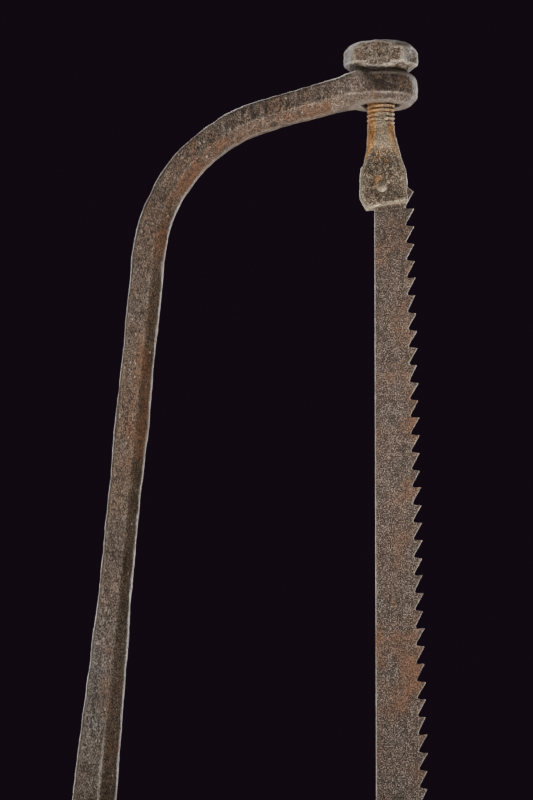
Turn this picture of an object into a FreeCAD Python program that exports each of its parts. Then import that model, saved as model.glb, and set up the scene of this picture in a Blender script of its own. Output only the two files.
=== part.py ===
import FreeCAD, Part
import os
import Sketcher
import PartDesign
from FreeCAD import Placement, Rotation, Vector

# Amputation saw of the bow-frame kind: a forged iron bow with an eye at the tip and a slotted jaw
# at the heel, a coarse blade strained between them by a draw bolt and nut, and a faceted grip.
# Millimetres. The origin is the centre of the grip. +Z runs from the grip to the saw's tip,
# +X points the way the teeth do, and Y is the saw's thickness.

doc = FreeCAD.newDocument("amputation_saw")
sizes = doc.addObject("Spreadsheet::Sheet", "sizes")
places = doc.addObject("Spreadsheet::Sheet", "places")
next_row = {sizes: 1, places: 1}
bodies = []


def enter(sheet, name, content):
    """Write one named cell into the sheet's next row."""
    cell = "B%d" % next_row[sheet]
    sheet.set("A%d" % next_row[sheet], name)
    sheet.set(cell, content)
    sheet.setAlias(cell, name)
    next_row[sheet] += 1


def place(name, formula):
    """A place or length that follows from the driving dimensions."""
    enter(places, name, "=" + formula)


# Driving dimensions: lengths in millimetres, angles in degrees
DIMENSIONS = {
    # Heights, from the grip upwards
    "grip_length": 118,
    "bolster_thickness": 3,
    "jaw_sole": 9,
    "toe_clearance": 1,
    "toe_below_pin": 7.1,
    "blade_span": 335,
    "rivet_below_eye": 32,

    # Eye at the tip of the bow
    "eye_diameter": 24.2,
    "eye_height": 10.6,
    "eye_hole_diameter": 13.2,
    "eye_edge_wear": 0.6,

    # Bow: its three straight runs, measured on the bar's centreline, and its two bends
    "arm_slope": 16,
    "arm_rise_at_axis": 2.2,
    "arm_root_reach": 9,
    "back_reach": 69.7,
    "back_lean": 5.46,
    "heel_arm_slope": 12,
    "heel_arm_rise_at_axis": 15,
    "tip_bend_radius": 53,
    "heel_bend_radius": 50,
    "plain_back_length": 110,

    # Section of the bar
    "bar_thickness": 10.5,
    "arm_width": 10,
    "back_width": 10.7,
    "heel_bend_width": 18.2,
    "heel_arm_width": 13,
    "outer_bevel_width": 0.5,
    "outer_bevel_depth": 1,
    "inner_bevel_width": 2.7,
    "inner_bevel_width_heel": 6.5,
    "inner_bevel_depth": 1.5,
    "inner_edge_width": 1.1,
    "inner_edge_depth": 1.6,

    # Jaw that holds the blade's heel, and the tang below it
    "jaw_reach": 10,
    "jaw_thickness": 13,
    "jaw_height": 33,
    "jaw_corner": 4,
    "jaw_slot_width": 1.8,
    "jaw_slot_behind_blade": 1,
    "heel_pin_diameter": 4,
    "heel_pin_offset": 4,
    "heel_pin_head_rise": 0.5,
    "tang_width_top": 9,
    "tang_width_end": 6,
    "tang_play": 0.05,
    "peen_diameter": 9.4,
    "peen_height": 1.8,

    # Draw bolt: threaded shank, and a fork around the blade's tip
    "bolt_diameter": 8.9,
    "thread_pitch": 1.4,
    "thread_depth": 0.65,
    "thread_below_eye": 6.7,
    "bolt_travel_turns": 3,
    "bolt_end_below_crown": 0.5,
    "flats_below_eye": 2.7,
    "fork_thickness": 7.8,
    "fork_corner": 1.2,
    "neck_height": 12.5,
    "neck_left": 4.7,
    "neck_right": 5.7,
    "shoulder_height": 6.2,
    "shoulder_left": 6.6,
    "shoulder_right": 7.8,
    "cheek_height": 1.5,
    "cheek_left": 6.9,
    "cheek_right": 8.5,
    "cheek_drop": 5.9,
    "lip_drop": 7,
    "lip_bevel": 0.8,
    "lip_left": 4.9,
    "lip_right": 8.1,
    "fork_slot_width": 1.7,
    "fork_crotch": 8,
    "rivet_diameter": 3,
    "rivet_offset": 0.3,
    "rivet_head_diameter": 3.9,
    "rivet_head_rise": 0.7,

    # Tension nut
    "nut_corner_radius": 12.6,
    "nut_turned": 9,
    "nut_height": 9.6,
    "nut_crown_radius": 8.4,
    "nut_crown_rise": 1.6,
    "nut_foot_radius": 9.4,
    "nut_foot_rise": 1.4,
    "nut_seat_gap": 0.05,
    "nut_thread_play": 0.08,

    # Blade
    "blade_thickness": 1.4,
    "blade_behind_axis": 2.2,
    "blade_width_at_rivet": 12.7,
    "blade_taper": 1.2,
    "blade_head_radius": 5.5,
    "rivet_play": 0.05,
    "tooth_count": 55,
    "tooth_pitch": 5.65,
    "tooth_depth": 2.8,
    "gullet_width": 0.9,
    "first_tooth_drop": 1.35,
    "toe_trim": 6,
    "notch_play": 0.1,
    "notch_top_play": 0.3,

    # Grip and its metal fittings
    "collar_across": 25,
    "waist_across": 24,
    "waist_height": 22,
    "belly_across": 30,
    "belly_height": -30,
    "butt_across": 23,
    "butt_round_height": 6,
    "butt_shoulder_across": 28,
    "octagon_corner": 0.29,
    "ferrule_length": 14,
    "ferrule_diameter": 25.4,
    "ferrule_wall": 1.6,
    "ferrule_bead": 0.6,
    "ferrule_bead_length": 2,
    "bolster_across": 27,
    "bolster_bevel": 0.8,
    "butt_cap_diameter": 20,
    "butt_cap_thickness": 4.5,
    "butt_cap_rim": 1.6,
}

for name, value in DIMENSIONS.items():
    enter(sizes, name, str(value))
doc.recompute()

# Heights that follow
place("grip_top", "sizes.grip_length / 2")
place("grip_bottom", "-sizes.grip_length / 2")
place("bolster_top", "grip_top + sizes.bolster_thickness")
place("jaw_slot_floor", "bolster_top + sizes.jaw_sole")
place("bolt_travel", "sizes.bolt_travel_turns * sizes.thread_pitch")
place("toe", "jaw_slot_floor + bolt_travel + sizes.toe_clearance")
place("heel_pin_height", "toe + sizes.toe_below_pin")
place("rivet_height", "heel_pin_height + sizes.blade_span")
place("eye_centre", "rivet_height + sizes.rivet_below_eye")
place("eye_top", "eye_centre + sizes.eye_height / 2")
place("eye_bottom", "eye_centre - sizes.eye_height / 2")
place("nut_seat", "eye_top + sizes.nut_seat_gap")
place("nut_crown", "nut_seat + sizes.nut_height")
place("cap_bottom", "grip_bottom - sizes.butt_cap_thickness")

# Corner where the centrelines of the tip arm and the back would meet, and the bend between them
place("tip_corner_drop", "(sizes.back_reach * tan(sizes.arm_slope) - sizes.arm_rise_at_axis)"
      " / (1 - tan(sizes.back_lean) * tan(sizes.arm_slope))")
place("tip_corner_x", "-(sizes.back_reach + tan(sizes.back_lean) * tip_corner_drop)")
place("tip_corner_z", "eye_centre - tip_corner_drop")
place("tip_turn", "90 - sizes.back_lean - sizes.arm_slope")
place("tip_tangent", "sizes.tip_bend_radius * tan(tip_turn / 2)")
place("tip_bend_start_x", "tip_corner_x + tip_tangent * cos(sizes.arm_slope)")
place("tip_bend_start_z", "tip_corner_z + tip_tangent * sin(sizes.arm_slope)")
place("tip_bend_x", "tip_bend_start_x + sizes.tip_bend_radius * sin(sizes.arm_slope)")
place("tip_bend_z", "tip_bend_start_z - sizes.tip_bend_radius * cos(sizes.arm_slope)")
place("back_start_x", "tip_corner_x - tip_tangent * sin(sizes.back_lean)")
place("back_start_z", "tip_corner_z - tip_tangent * cos(sizes.back_lean)")
place("flare_x", "back_start_x - sizes.plain_back_length * sin(sizes.back_lean)")
place("flare_z", "back_start_z - sizes.plain_back_length * cos(sizes.back_lean)")

# The same for the back and the heel arm
place("heel_line", "bolster_top + sizes.heel_arm_rise_at_axis")
place("heel_corner_drop", "(eye_centre - heel_line - tan(sizes.heel_arm_slope) * sizes.back_reach)"
      " / (1 + tan(sizes.heel_arm_slope) * tan(sizes.back_lean))")
place("heel_corner_x", "-(sizes.back_reach + tan(sizes.back_lean) * heel_corner_drop)")
place("heel_corner_z", "eye_centre - heel_corner_drop")
place("heel_turn", "90 + sizes.back_lean - sizes.heel_arm_slope")
place("heel_tangent", "sizes.heel_bend_radius * tan(heel_turn / 2)")
place("heel_bend_start_x", "heel_corner_x + heel_tangent * sin(sizes.back_lean)")
place("heel_bend_start_z", "heel_corner_z + heel_tangent * cos(sizes.back_lean)")
place("heel_bend_end_x", "heel_corner_x + heel_tangent * cos(sizes.heel_arm_slope)")
place("heel_bend_end_z", "heel_corner_z - heel_tangent * sin(sizes.heel_arm_slope)")
place("heel_bend_x", "heel_bend_end_x + sizes.heel_bend_radius * sin(sizes.heel_arm_slope)")
place("heel_bend_z", "heel_bend_end_z + sizes.heel_bend_radius * cos(sizes.heel_arm_slope)")
place("jaw_back", "-sizes.jaw_reach")
place("heel_arm_end_x", "jaw_back + sizes.heel_arm_width / 2 * sin(sizes.heel_arm_slope)")
place("heel_arm_end_z", "heel_line - heel_arm_end_x * tan(sizes.heel_arm_slope)")

# Blade
place("blade_back", "-sizes.blade_behind_axis")
place("first_tip_z", "rivet_height - sizes.first_tooth_drop")
place("first_tip_x", "blade_back + sizes.blade_width_at_rivet"
      " + sizes.first_tooth_drop * tan(sizes.blade_taper)")
place("tooth_run", "(sizes.tooth_count - 1) * sizes.tooth_pitch")
place("last_tip_x", "first_tip_x + tooth_run * sin(sizes.blade_taper)")
place("last_tip_z", "first_tip_z - tooth_run * cos(sizes.blade_taper)")
place("last_flank_z", "last_tip_z - (sizes.tooth_pitch - sizes.gullet_width)")
place("edge_x", "last_tip_x - sizes.tooth_depth")
place("toe_x", "edge_x + (last_flank_z - toe) * tan(sizes.blade_taper)")
doc.recompute()


def new_body(label):
    """A new piece of the saw, kept for writing at the end."""
    body = doc.addObject("PartDesign::Body", label)
    body.Label = label
    body.Placement = Placement()
    bodies.append(body)
    return body


def new_sketch(body, name, plane, across="0", along="0", out="0", turned="0", about=Vector(0, 0, 1)):
    """A sketch on one of the body's origin planes, shifted and turned by the given formulas."""
    sketch = body.newObject("Sketcher::SketchObject", name)
    support = next(item for item in body.Origin.OriginFeatures if item.Role == plane)
    sketch.AttachmentSupport = [(support, "")]
    sketch.MapMode = "FlatFace"
    angle = float(places.evalExpression(turned))
    sketch.AttachmentOffset = Placement(Vector(0, 0, 0), Rotation(about, angle or 1.0))
    sketch.setExpression("AttachmentOffset.Base.x", across)
    sketch.setExpression("AttachmentOffset.Base.y", along)
    sketch.setExpression("AttachmentOffset.Base.z", out)
    sketch.setExpression("AttachmentOffset.Rotation.Angle", turned)
    return sketch


def hold_point(sketch, geometry, point, across, along):
    """Tie one point of the sketch to the formulas of its two coordinates."""
    for kind, formula in (("DistanceX", across), ("DistanceY", along)):
        value = float(places.evalExpression(formula))
        index = sketch.addConstraint(Sketcher.Constraint(kind, -1, 1, geometry, point, value))
        sketch.setExpression("Constraints[%d]" % index, formula)


def draw_polygon(sketch, points):
    """A closed outline through points that are given as pairs of formulas."""
    corners = [Vector(*(float(places.evalExpression(formula)) for formula in pair)) for pair in points]
    first = sketch.GeometryCount
    for index, corner in enumerate(corners):
        sketch.addGeometry(Part.LineSegment(corner, corners[(index + 1) % len(corners)]), False)
    for index, pair in enumerate(points):
        following = first + (index + 1) % len(points)
        sketch.addConstraint(Sketcher.Constraint("Coincident", first + index, 2, following, 1))
        hold_point(sketch, first + index, 1, *pair)


def draw_circle(sketch, across, along, diameter):
    """A circle whose centre and diameter are given as formulas."""
    centre = Vector(float(places.evalExpression(across)), float(places.evalExpression(along)), 0)
    measure = float(places.evalExpression(diameter))
    circle = sketch.addGeometry(Part.Circle(centre, Vector(0, 0, 1), measure / 2), False)
    hold_point(sketch, circle, 3, across, along)
    index = sketch.addConstraint(Sketcher.Constraint("Diameter", circle, measure))
    sketch.setExpression("Constraints[%d]" % index, diameter)


def pad(body, name, sketch, length, midplane=False):
    """Add material by lengthening a sketch."""
    feature = body.newObject("PartDesign::Pad", name)
    feature.Profile = sketch
    feature.Midplane = midplane
    feature.setExpression("Length", length)
    return feature


def cut(body, name, sketch, length):
    """Remove material to the same depth on both sides of a sketch."""
    feature = body.newObject("PartDesign::Pocket", name)
    feature.Profile = sketch
    feature.Midplane = True
    feature.setExpression("Length", length)
    return feature


def loft(body, name, sketches, kind="Additive", ruled=True):
    """Join a row of sketches into one run of material or one hollow."""
    feature = body.newObject("PartDesign::%sLoft" % kind, name)
    feature.Profile = sketches[0]
    feature.Sections = sketches[1:]
    feature.Ruled = ruled
    return feature


def turn(body, name, sketch, axis, angle="360", kind="Revolution"):
    """Turn a sketch about one of its own axes."""
    feature = body.newObject("PartDesign::" + kind, name)
    feature.Profile = sketch
    feature.ReferenceAxis = (sketch, [axis])
    feature.setExpression("Angle", angle)
    return feature


def turned_piece(label, points):
    """A round piece, from its half outline as pairs of radius and height."""
    body = new_body(label)
    sketch = new_sketch(body, label + "_outline", "XZ_Plane")
    draw_polygon(sketch, points)
    turn(body, label + "_turned", sketch, "V_Axis")
    return body


def bar_section(body, name, x, z, turned, width, bevel, radius="0"):
    """The bar's bevelled section, square to the bow's centreline or standing off a bend's centre."""
    sketch = new_sketch(body, name, "YZ_Plane", "0", z, x, turned, Vector(1, 0, 0))
    half = "sizes.bar_thickness / 2"
    outer = "%s + (%s) / 2" % (radius, width)
    inner = "%s - (%s) / 2" % (radius, width)
    side = [("%s - sizes.outer_bevel_depth" % half, outer),
            (half, "%s - sizes.outer_bevel_width" % outer),
            (half, "%s + sizes.inner_edge_width + %s" % (inner, bevel)),
            ("%s - sizes.inner_bevel_depth" % half, "%s + sizes.inner_edge_width" % inner),
            ("%s - sizes.inner_bevel_depth - sizes.inner_edge_depth" % half, inner)]
    mirrored = [("-(%s)" % across, along) for across, along in reversed(side)]
    draw_polygon(sketch, side + mirrored)
    return sketch


def add_eye(bow):
    """The eye: a low round boss with worn edges."""
    sketch = new_sketch(bow, "eye_outline", "XZ_Plane", "0", "places.eye_centre")
    rim = "sizes.eye_diameter / 2"
    half = "sizes.eye_height / 2"
    draw_polygon(sketch, [
        ("0", "-" + half),
        (rim + " - sizes.eye_edge_wear", "-" + half),
        (rim, "-%s + sizes.eye_edge_wear" % half),
        (rim, half + " - sizes.eye_edge_wear"),
        (rim + " - sizes.eye_edge_wear", half),
        ("0", half)])
    turn(bow, "eye_boss", sketch, "V_Axis")


def add_bow_bar(bow):
    """The bar from the eye round both bends to the jaw."""
    arm_turn = "-sizes.arm_slope"
    back_turn = "-(90 - sizes.back_lean)"
    heel_turn = "-(180 - sizes.heel_arm_slope)"
    bevel = "sizes.inner_bevel_width"
    heel_bevel = "sizes.inner_bevel_width_heel"

    root = bar_section(bow, "arm_root", "-sizes.arm_root_reach",
                       "places.eye_centre + sizes.arm_rise_at_axis - sizes.arm_root_reach * tan(sizes.arm_slope)",
                       arm_turn, "sizes.arm_width", bevel)
    arm_end = bar_section(bow, "arm_end", "places.tip_bend_start_x", "places.tip_bend_start_z",
                          arm_turn, "sizes.arm_width", bevel)
    loft(bow, "tip_arm", [root, arm_end])

    tip_bend = bar_section(bow, "tip_bend_section", "places.tip_bend_x", "places.tip_bend_z",
                           back_turn, "sizes.back_width", bevel, "sizes.tip_bend_radius")
    turn(bow, "tip_bend", tip_bend, "H_Axis", "places.tip_turn")

    back_start = bar_section(bow, "back_start", "places.back_start_x", "places.back_start_z",
                             back_turn, "sizes.back_width", bevel)
    flare_start = bar_section(bow, "flare_start", "places.flare_x", "places.flare_z",
                              back_turn, "sizes.back_width", bevel)
    flare_end = bar_section(bow, "flare_end", "places.heel_bend_start_x", "places.heel_bend_start_z",
                            back_turn, "sizes.heel_bend_width", heel_bevel)
    loft(bow, "back", [back_start, flare_start, flare_end])

    heel_bend = bar_section(bow, "heel_bend_section", "places.heel_bend_x", "places.heel_bend_z",
                            heel_turn, "sizes.heel_bend_width", heel_bevel, "sizes.heel_bend_radius")
    turn(bow, "heel_bend", heel_bend, "H_Axis", "places.heel_turn")

    heel_start = bar_section(bow, "heel_arm_start", "places.heel_bend_end_x", "places.heel_bend_end_z",
                             heel_turn, "sizes.heel_bend_width", heel_bevel)
    heel_end = bar_section(bow, "heel_arm_end", "places.heel_arm_end_x", "places.heel_arm_end_z",
                           heel_turn, "sizes.heel_arm_width", bevel)
    loft(bow, "heel_arm", [heel_start, heel_end])


def add_jaw(bow):
    """The jaw above the bolster, slotted for the blade's heel and drilled for its pin."""
    reach = "sizes.jaw_reach"
    top = "places.bolster_top + sizes.jaw_height"
    sketch = new_sketch(bow, "jaw_outline", "XZ_Plane")
    draw_polygon(sketch, [
        ("-" + reach, "places.bolster_top"),
        (reach, "places.bolster_top"),
        (reach, top + " - sizes.jaw_corner"),
        (reach + " - sizes.jaw_corner", top),
        ("-%s + sizes.jaw_corner" % reach, top),
        ("-" + reach, top + " - sizes.jaw_corner")])
    pad(bow, "jaw", sketch, "sizes.jaw_thickness", True)

    slot = new_sketch(bow, "jaw_slot_outline", "XZ_Plane")
    slot_back = "places.blade_back - sizes.jaw_slot_behind_blade"
    draw_polygon(slot, [
        (slot_back, "places.jaw_slot_floor"),
        ("2 * " + reach, "places.jaw_slot_floor"),
        ("2 * " + reach, top + " + sizes.jaw_corner"),
        (slot_back, top + " + sizes.jaw_corner")])
    cut(bow, "jaw_slot", slot, "sizes.jaw_slot_width")

    hole = new_sketch(bow, "heel_pin_hole_outline", "XZ_Plane")
    draw_circle(hole, "sizes.heel_pin_offset", "places.heel_pin_height", "sizes.heel_pin_diameter")
    cut(bow, "heel_pin_hole", hole, "2 * sizes.jaw_thickness")


def draw_square(sketch, width):
    """A square about the sketch's origin."""
    half = "(%s) / 2" % width
    draw_polygon(sketch, [("-" + half, "-" + half), (half, "-" + half), (half, half), ("-" + half, half)])


def tang_width(height):
    """The tang's width at a height, from its straight taper between the jaw and the peened end."""
    share = "(places.bolster_top - (%s)) / (places.bolster_top - places.cap_bottom)" % height
    return "(sizes.tang_width_top - (sizes.tang_width_top - sizes.tang_width_end) * %s)" % share


def tang_run(body, name, low, high, play, kind):
    """A stretch of the tapered square tang, or of the hole that it passes through."""
    ends = []
    for suffix, height in (("_low", low), ("_high", high)):
        sketch = new_sketch(body, name + suffix, "XY_Plane", out=height)
        draw_square(sketch, "%s + 2 * %s" % (tang_width(height), play))
        ends.append(sketch)
    loft(body, name, ends, kind)


def add_tang(bow):
    """The tang through the grip, peened over the butt cap."""
    tang_run(bow, "tang", "places.cap_bottom", "places.bolster_top", "0", "Additive")
    sketch = new_sketch(bow, "peen_outline", "XZ_Plane", "0", "places.cap_bottom")
    draw_polygon(sketch, [
        ("0", "0"),
        ("sizes.peen_diameter / 2", "0"),
        ("sizes.peen_diameter / 2", "-sizes.peen_height / 4"),
        ("sizes.peen_diameter / 4", "-sizes.peen_height * 0.9"),
        ("0", "-sizes.peen_height")])
    turn(bow, "peen", sketch, "V_Axis")


def make_bow_frame():
    """The bow, its eye, jaw and tang: one forging."""
    bow = new_body("bow_frame")
    add_eye(bow)
    add_bow_bar(bow)
    add_jaw(bow)
    add_tang(bow)
    hole = new_sketch(bow, "eye_hole_outline", "XY_Plane", out="places.eye_centre")
    draw_circle(hole, "0", "0", "sizes.eye_hole_diameter")
    cut(bow, "eye_hole", hole, "3 * sizes.eye_height")


def fork_section(body, name, height, left, right, depth):
    """One level of the fork: a rectangle with cut corners, wider on the toothed side."""
    sketch = new_sketch(body, name, "XY_Plane", out=height)
    half = "(%s) / 2" % depth
    corner = "sizes.fork_corner"
    draw_polygon(sketch, [
        ("-%s + %s" % (left, corner), "-" + half),
        ("%s - %s" % (right, corner), "-" + half),
        (right, "-%s + %s" % (half, corner)),
        (right, "%s - %s" % (half, corner)),
        ("%s - %s" % (right, corner), half),
        ("-%s + %s" % (left, corner), half),
        ("-" + left, "%s - %s" % (half, corner)),
        ("-" + left, "-%s + %s" % (half, corner))])
    return sketch


def make_draw_bolt():
    """The draw bolt: a threaded shank flattened below the eye into a fork for the blade's tip."""
    bolt = new_body("draw_bolt")
    rivet = "places.rivet_height"
    thick = "sizes.fork_thickness"
    thin = "sizes.fork_thickness - 2 * sizes.lip_bevel"
    flats_top = "places.eye_bottom - sizes.flats_below_eye"
    shank_end = "places.nut_crown - sizes.bolt_end_below_crown"
    thread_end = "places.eye_bottom - sizes.thread_below_eye"
    round_side = "(sizes.bolt_diameter / 2)"

    shank = new_sketch(bolt, "shank_outline", "XY_Plane", out=rivet + " + sizes.neck_height")
    draw_circle(shank, "0", "0", "sizes.bolt_diameter")
    pad(bolt, "shank", shank, "%s - %s - sizes.neck_height" % (shank_end, rivet))

    levels = [
        fork_section(bolt, "fork_root", flats_top + " - sizes.bolt_diameter / 2",
                     round_side, round_side, thick),
        fork_section(bolt, "fork_neck", rivet + " + sizes.neck_height",
                     "sizes.neck_left", "sizes.neck_right", thick),
        fork_section(bolt, "fork_shoulder", rivet + " + sizes.shoulder_height",
                     "sizes.shoulder_left", "sizes.shoulder_right", thick),
        fork_section(bolt, "fork_cheek", rivet + " + sizes.cheek_height",
                     "sizes.cheek_left", "sizes.cheek_right", thick),
        fork_section(bolt, "fork_foot", rivet + " - sizes.cheek_drop",
                     "sizes.cheek_left", "sizes.cheek_right", thick),
        fork_section(bolt, "fork_lip", rivet + " - sizes.lip_drop",
                     "sizes.lip_left", "sizes.lip_right", thin)]
    loft(bolt, "fork", levels)

    flat_inner = thick + " / 2"
    flat_outer = "sizes.bolt_diameter"
    for side, sign in (("front", "-"), ("rear", "")):
        flat = new_sketch(bolt, side + "_flat_outline", "YZ_Plane")
        draw_polygon(flat, [
            ("%s(%s)" % (sign, flat_inner), rivet),
            ("%s(%s)" % (sign, flat_outer), rivet),
            ("%s(%s)" % (sign, flat_outer), flats_top),
            ("%s(%s)" % (sign, flat_inner), flats_top)])
        cut(bolt, side + "_flat", flat, "2 * sizes.bolt_diameter")

    slot = new_sketch(bolt, "fork_slot_outline", "XZ_Plane", "0", rivet)
    draw_polygon(slot, [
        ("-2 * sizes.cheek_left", "-2 * sizes.lip_drop"),
        ("2 * sizes.cheek_right", "-2 * sizes.lip_drop"),
        ("2 * sizes.cheek_right", "sizes.fork_crotch"),
        ("-2 * sizes.cheek_left", "sizes.fork_crotch")])
    cut(bolt, "fork_slot", slot, "sizes.fork_slot_width")

    hole = new_sketch(bolt, "rivet_hole_outline", "XZ_Plane")
    draw_circle(hole, "sizes.rivet_offset", rivet, "sizes.rivet_diameter")
    cut(bolt, "rivet_hole", hole, "2 * sizes.fork_thickness")

    groove = new_sketch(bolt, "thread_groove", "XZ_Plane", "0", thread_end)
    root = "sizes.bolt_diameter / 2 - sizes.thread_depth"
    past = "sizes.bolt_diameter / 2 + sizes.thread_depth / 2"
    draw_polygon(groove, [
        (root, "-sizes.thread_pitch * 0.09"),
        (past, "-sizes.thread_pitch * 0.52"),
        (past, "sizes.thread_pitch * 0.52"),
        (root, "sizes.thread_pitch * 0.09")])
    thread = bolt.newObject("PartDesign::SubtractiveHelix", "thread")
    thread.Profile = groove
    thread.ReferenceAxis = (groove, ["V_Axis"])
    thread.Mode = "pitch-height-angle"
    thread.setExpression("Pitch", "sizes.thread_pitch")
    thread.setExpression("Height", "%s - (%s) + sizes.thread_pitch" % (shank_end, thread_end))


def make_cross_pin(label, x, z, diameter, grip, head_diameter, rise):
    """A pin or rivet across the saw, with both ends hammered into low heads."""
    body = new_body(label)
    sketch = new_sketch(body, label + "_outline", "YZ_Plane", "0", z, x)
    half = "%s / 2" % grip
    side = [(half + " + %s" % rise, "0"),
            (half + " + %s" % rise, "%s / 4" % head_diameter),
            (half + " + %s * 0.4" % rise, "%s / 2" % head_diameter),
            (half, "%s / 2" % head_diameter),
            (half, "%s / 2" % diameter)]
    if diameter == head_diameter:
        side.pop()
    mirrored = [("-(%s)" % across, along) for across, along in reversed(side)]
    draw_polygon(sketch, side + mirrored)
    turn(body, label + "_turned", sketch, "H_Axis")


def make_tension_nut():
    """The tension nut: a hexagon with a low crown and a narrowed foot."""
    nut = new_body("tension_nut")
    outline = new_sketch(nut, "nut_outline", "XY_Plane", out="places.nut_seat")
    angles = ["(sizes.nut_turned - 90 + 60 * %d)" % corner for corner in range(6)]
    draw_polygon(outline, [("sizes.nut_corner_radius * cos%s" % angle,
                            "sizes.nut_corner_radius * sin%s" % angle) for angle in angles])
    pad(nut, "nut_block", outline, "sizes.nut_height")

    trims = (("crown", "places.nut_crown", "-sizes.nut_crown_rise", "sizes.nut_crown_radius", "sizes.nut_height"),
             ("foot", "places.nut_seat", "sizes.nut_foot_rise", "sizes.nut_foot_radius", "-sizes.nut_height"))
    for name, height, rise, radius, past in trims:
        trim = new_sketch(nut, name + "_trim_outline", "XZ_Plane", "0", height)
        draw_polygon(trim, [
            (radius, "0"),
            ("sizes.nut_corner_radius", rise),
            ("2 * sizes.nut_corner_radius", rise),
            ("2 * sizes.nut_corner_radius", past),
            (radius, past)])
        turn(nut, name + "_trim", trim, "V_Axis", "360", "Groove")

    bore = new_sketch(nut, "nut_bore_outline", "XY_Plane", out="places.nut_seat")
    draw_circle(bore, "0", "0", "sizes.bolt_diameter + 2 * sizes.nut_thread_play")
    cut(nut, "nut_bore", bore, "4 * sizes.nut_height")


def make_saw_blade():
    """The blade: a long taper with a round head at the tip and a hooked notch at the heel."""
    blade = new_body("saw_blade")
    rivet = "places.rivet_height"
    web = new_sketch(blade, "web_outline", "XZ_Plane")
    draw_polygon(web, [
        ("places.blade_back", rivet),
        ("places.blade_back", "places.toe"),
        ("places.toe_x - sizes.toe_trim", "places.toe"),
        ("places.toe_x", "places.toe + sizes.toe_trim"),
        ("places.edge_x", "places.last_flank_z"),
        ("places.last_tip_x", "places.last_tip_z"),
        ("places.first_tip_x", "places.first_tip_z"),
        ("sizes.rivet_offset + sizes.blade_head_radius * 0.6", rivet + " + sizes.blade_head_radius * 0.8")])
    pad(blade, "web", web, "sizes.blade_thickness", True)

    head = new_sketch(blade, "head_outline", "XZ_Plane")
    draw_circle(head, "sizes.rivet_offset", rivet, "2 * sizes.blade_head_radius")
    pad(blade, "head", head, "sizes.blade_thickness", True)

    hole = new_sketch(blade, "head_hole_outline", "XZ_Plane")
    draw_circle(hole, "sizes.rivet_offset", rivet, "sizes.rivet_diameter + 2 * sizes.rivet_play")
    cut(blade, "head_hole", hole, "4 * sizes.blade_thickness")

    notch = new_sketch(blade, "notch_outline", "XZ_Plane", "0", "places.heel_pin_height")
    closed = "sizes.heel_pin_offset + sizes.heel_pin_diameter / 2 + sizes.notch_play"
    low = "-sizes.heel_pin_diameter / 2 - sizes.notch_play"
    high = "sizes.heel_pin_diameter / 2 + places.bolt_travel + sizes.notch_top_play"
    past = "-2 * sizes.blade_behind_axis"
    draw_polygon(notch, [(past, low), (closed, low), (closed, high), (past, high)])
    cut(blade, "heel_notch", notch, "4 * sizes.blade_thickness")

    gap = new_sketch(blade, "tooth_gap_outline", "XZ_Plane", "places.first_tip_x", "places.first_tip_z",
                     turned="sizes.blade_taper")
    draw_polygon(gap, [
        ("0", "0"),
        ("-sizes.tooth_depth", "-sizes.tooth_pitch + sizes.gullet_width"),
        ("-sizes.tooth_depth", "-sizes.tooth_pitch + sizes.gullet_width / 4"),
        ("-sizes.tooth_depth + sizes.gullet_width / 4", "-sizes.tooth_pitch"),
        ("0", "-sizes.tooth_pitch"),
        ("sizes.tooth_depth", "-sizes.tooth_pitch"),
        ("sizes.tooth_depth", "0")])
    first_gap = cut(blade, "tooth_gap", gap, "4 * sizes.blade_thickness")
    doc.recompute()
    row = blade.newObject("PartDesign::LinearPattern", "tooth_row")
    row.Originals = [first_gap]
    row.Direction = (gap, ["V_Axis"])
    row.Reversed = True
    row.Mode = "Spacing"
    row.setExpression("Offset", "sizes.tooth_pitch")
    row.setExpression("Occurrences", "sizes.tooth_count - 1")
    blade.Tip = row


def octagon(body, name, height, across):
    """A level of the grip: an octagon with narrower corner flats, about the saw's axis."""
    sketch = new_sketch(body, name, "XY_Plane", out=height)
    half = "(%s) / 2" % across
    short = "(%s) * (0.5 - sizes.octagon_corner)" % across
    draw_polygon(sketch, [
        ("-" + short, "-" + half), (short, "-" + half), (half, "-" + short), (half, short),
        (short, half), ("-" + short, half), ("-" + half, short), ("-" + half, "-" + short)])
    return sketch


def make_grip():
    """The wooden grip: eight flats, a waist behind the ferrule, a fuller belly and a rounded butt."""
    grip = new_body("grip")
    collar = "places.grip_top - sizes.ferrule_length"
    lower = [octagon(grip, "butt_level", "places.grip_bottom", "sizes.butt_across"),
             octagon(grip, "butt_shoulder_level", "places.grip_bottom + sizes.butt_round_height",
                     "sizes.butt_shoulder_across")]
    loft(grip, "butt", lower)
    upper = [octagon(grip, "belly_start_level", "places.grip_bottom + sizes.butt_round_height",
                     "sizes.butt_shoulder_across"),
             octagon(grip, "belly_level", "sizes.belly_height", "sizes.belly_across"),
             octagon(grip, "waist_level", "sizes.waist_height", "sizes.waist_across"),
             octagon(grip, "collar_level", collar, "sizes.collar_across")]
    loft(grip, "hand", upper, ruled=False)
    spigot = new_sketch(grip, "spigot_outline", "XY_Plane", out=collar)
    draw_circle(spigot, "0", "0", "sizes.ferrule_diameter - 2 * sizes.ferrule_wall")
    pad(grip, "spigot", spigot, "sizes.ferrule_length")
    tang_run(grip, "tang_hole", "places.grip_bottom", "places.grip_top", "sizes.tang_play", "Subtractive")


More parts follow.
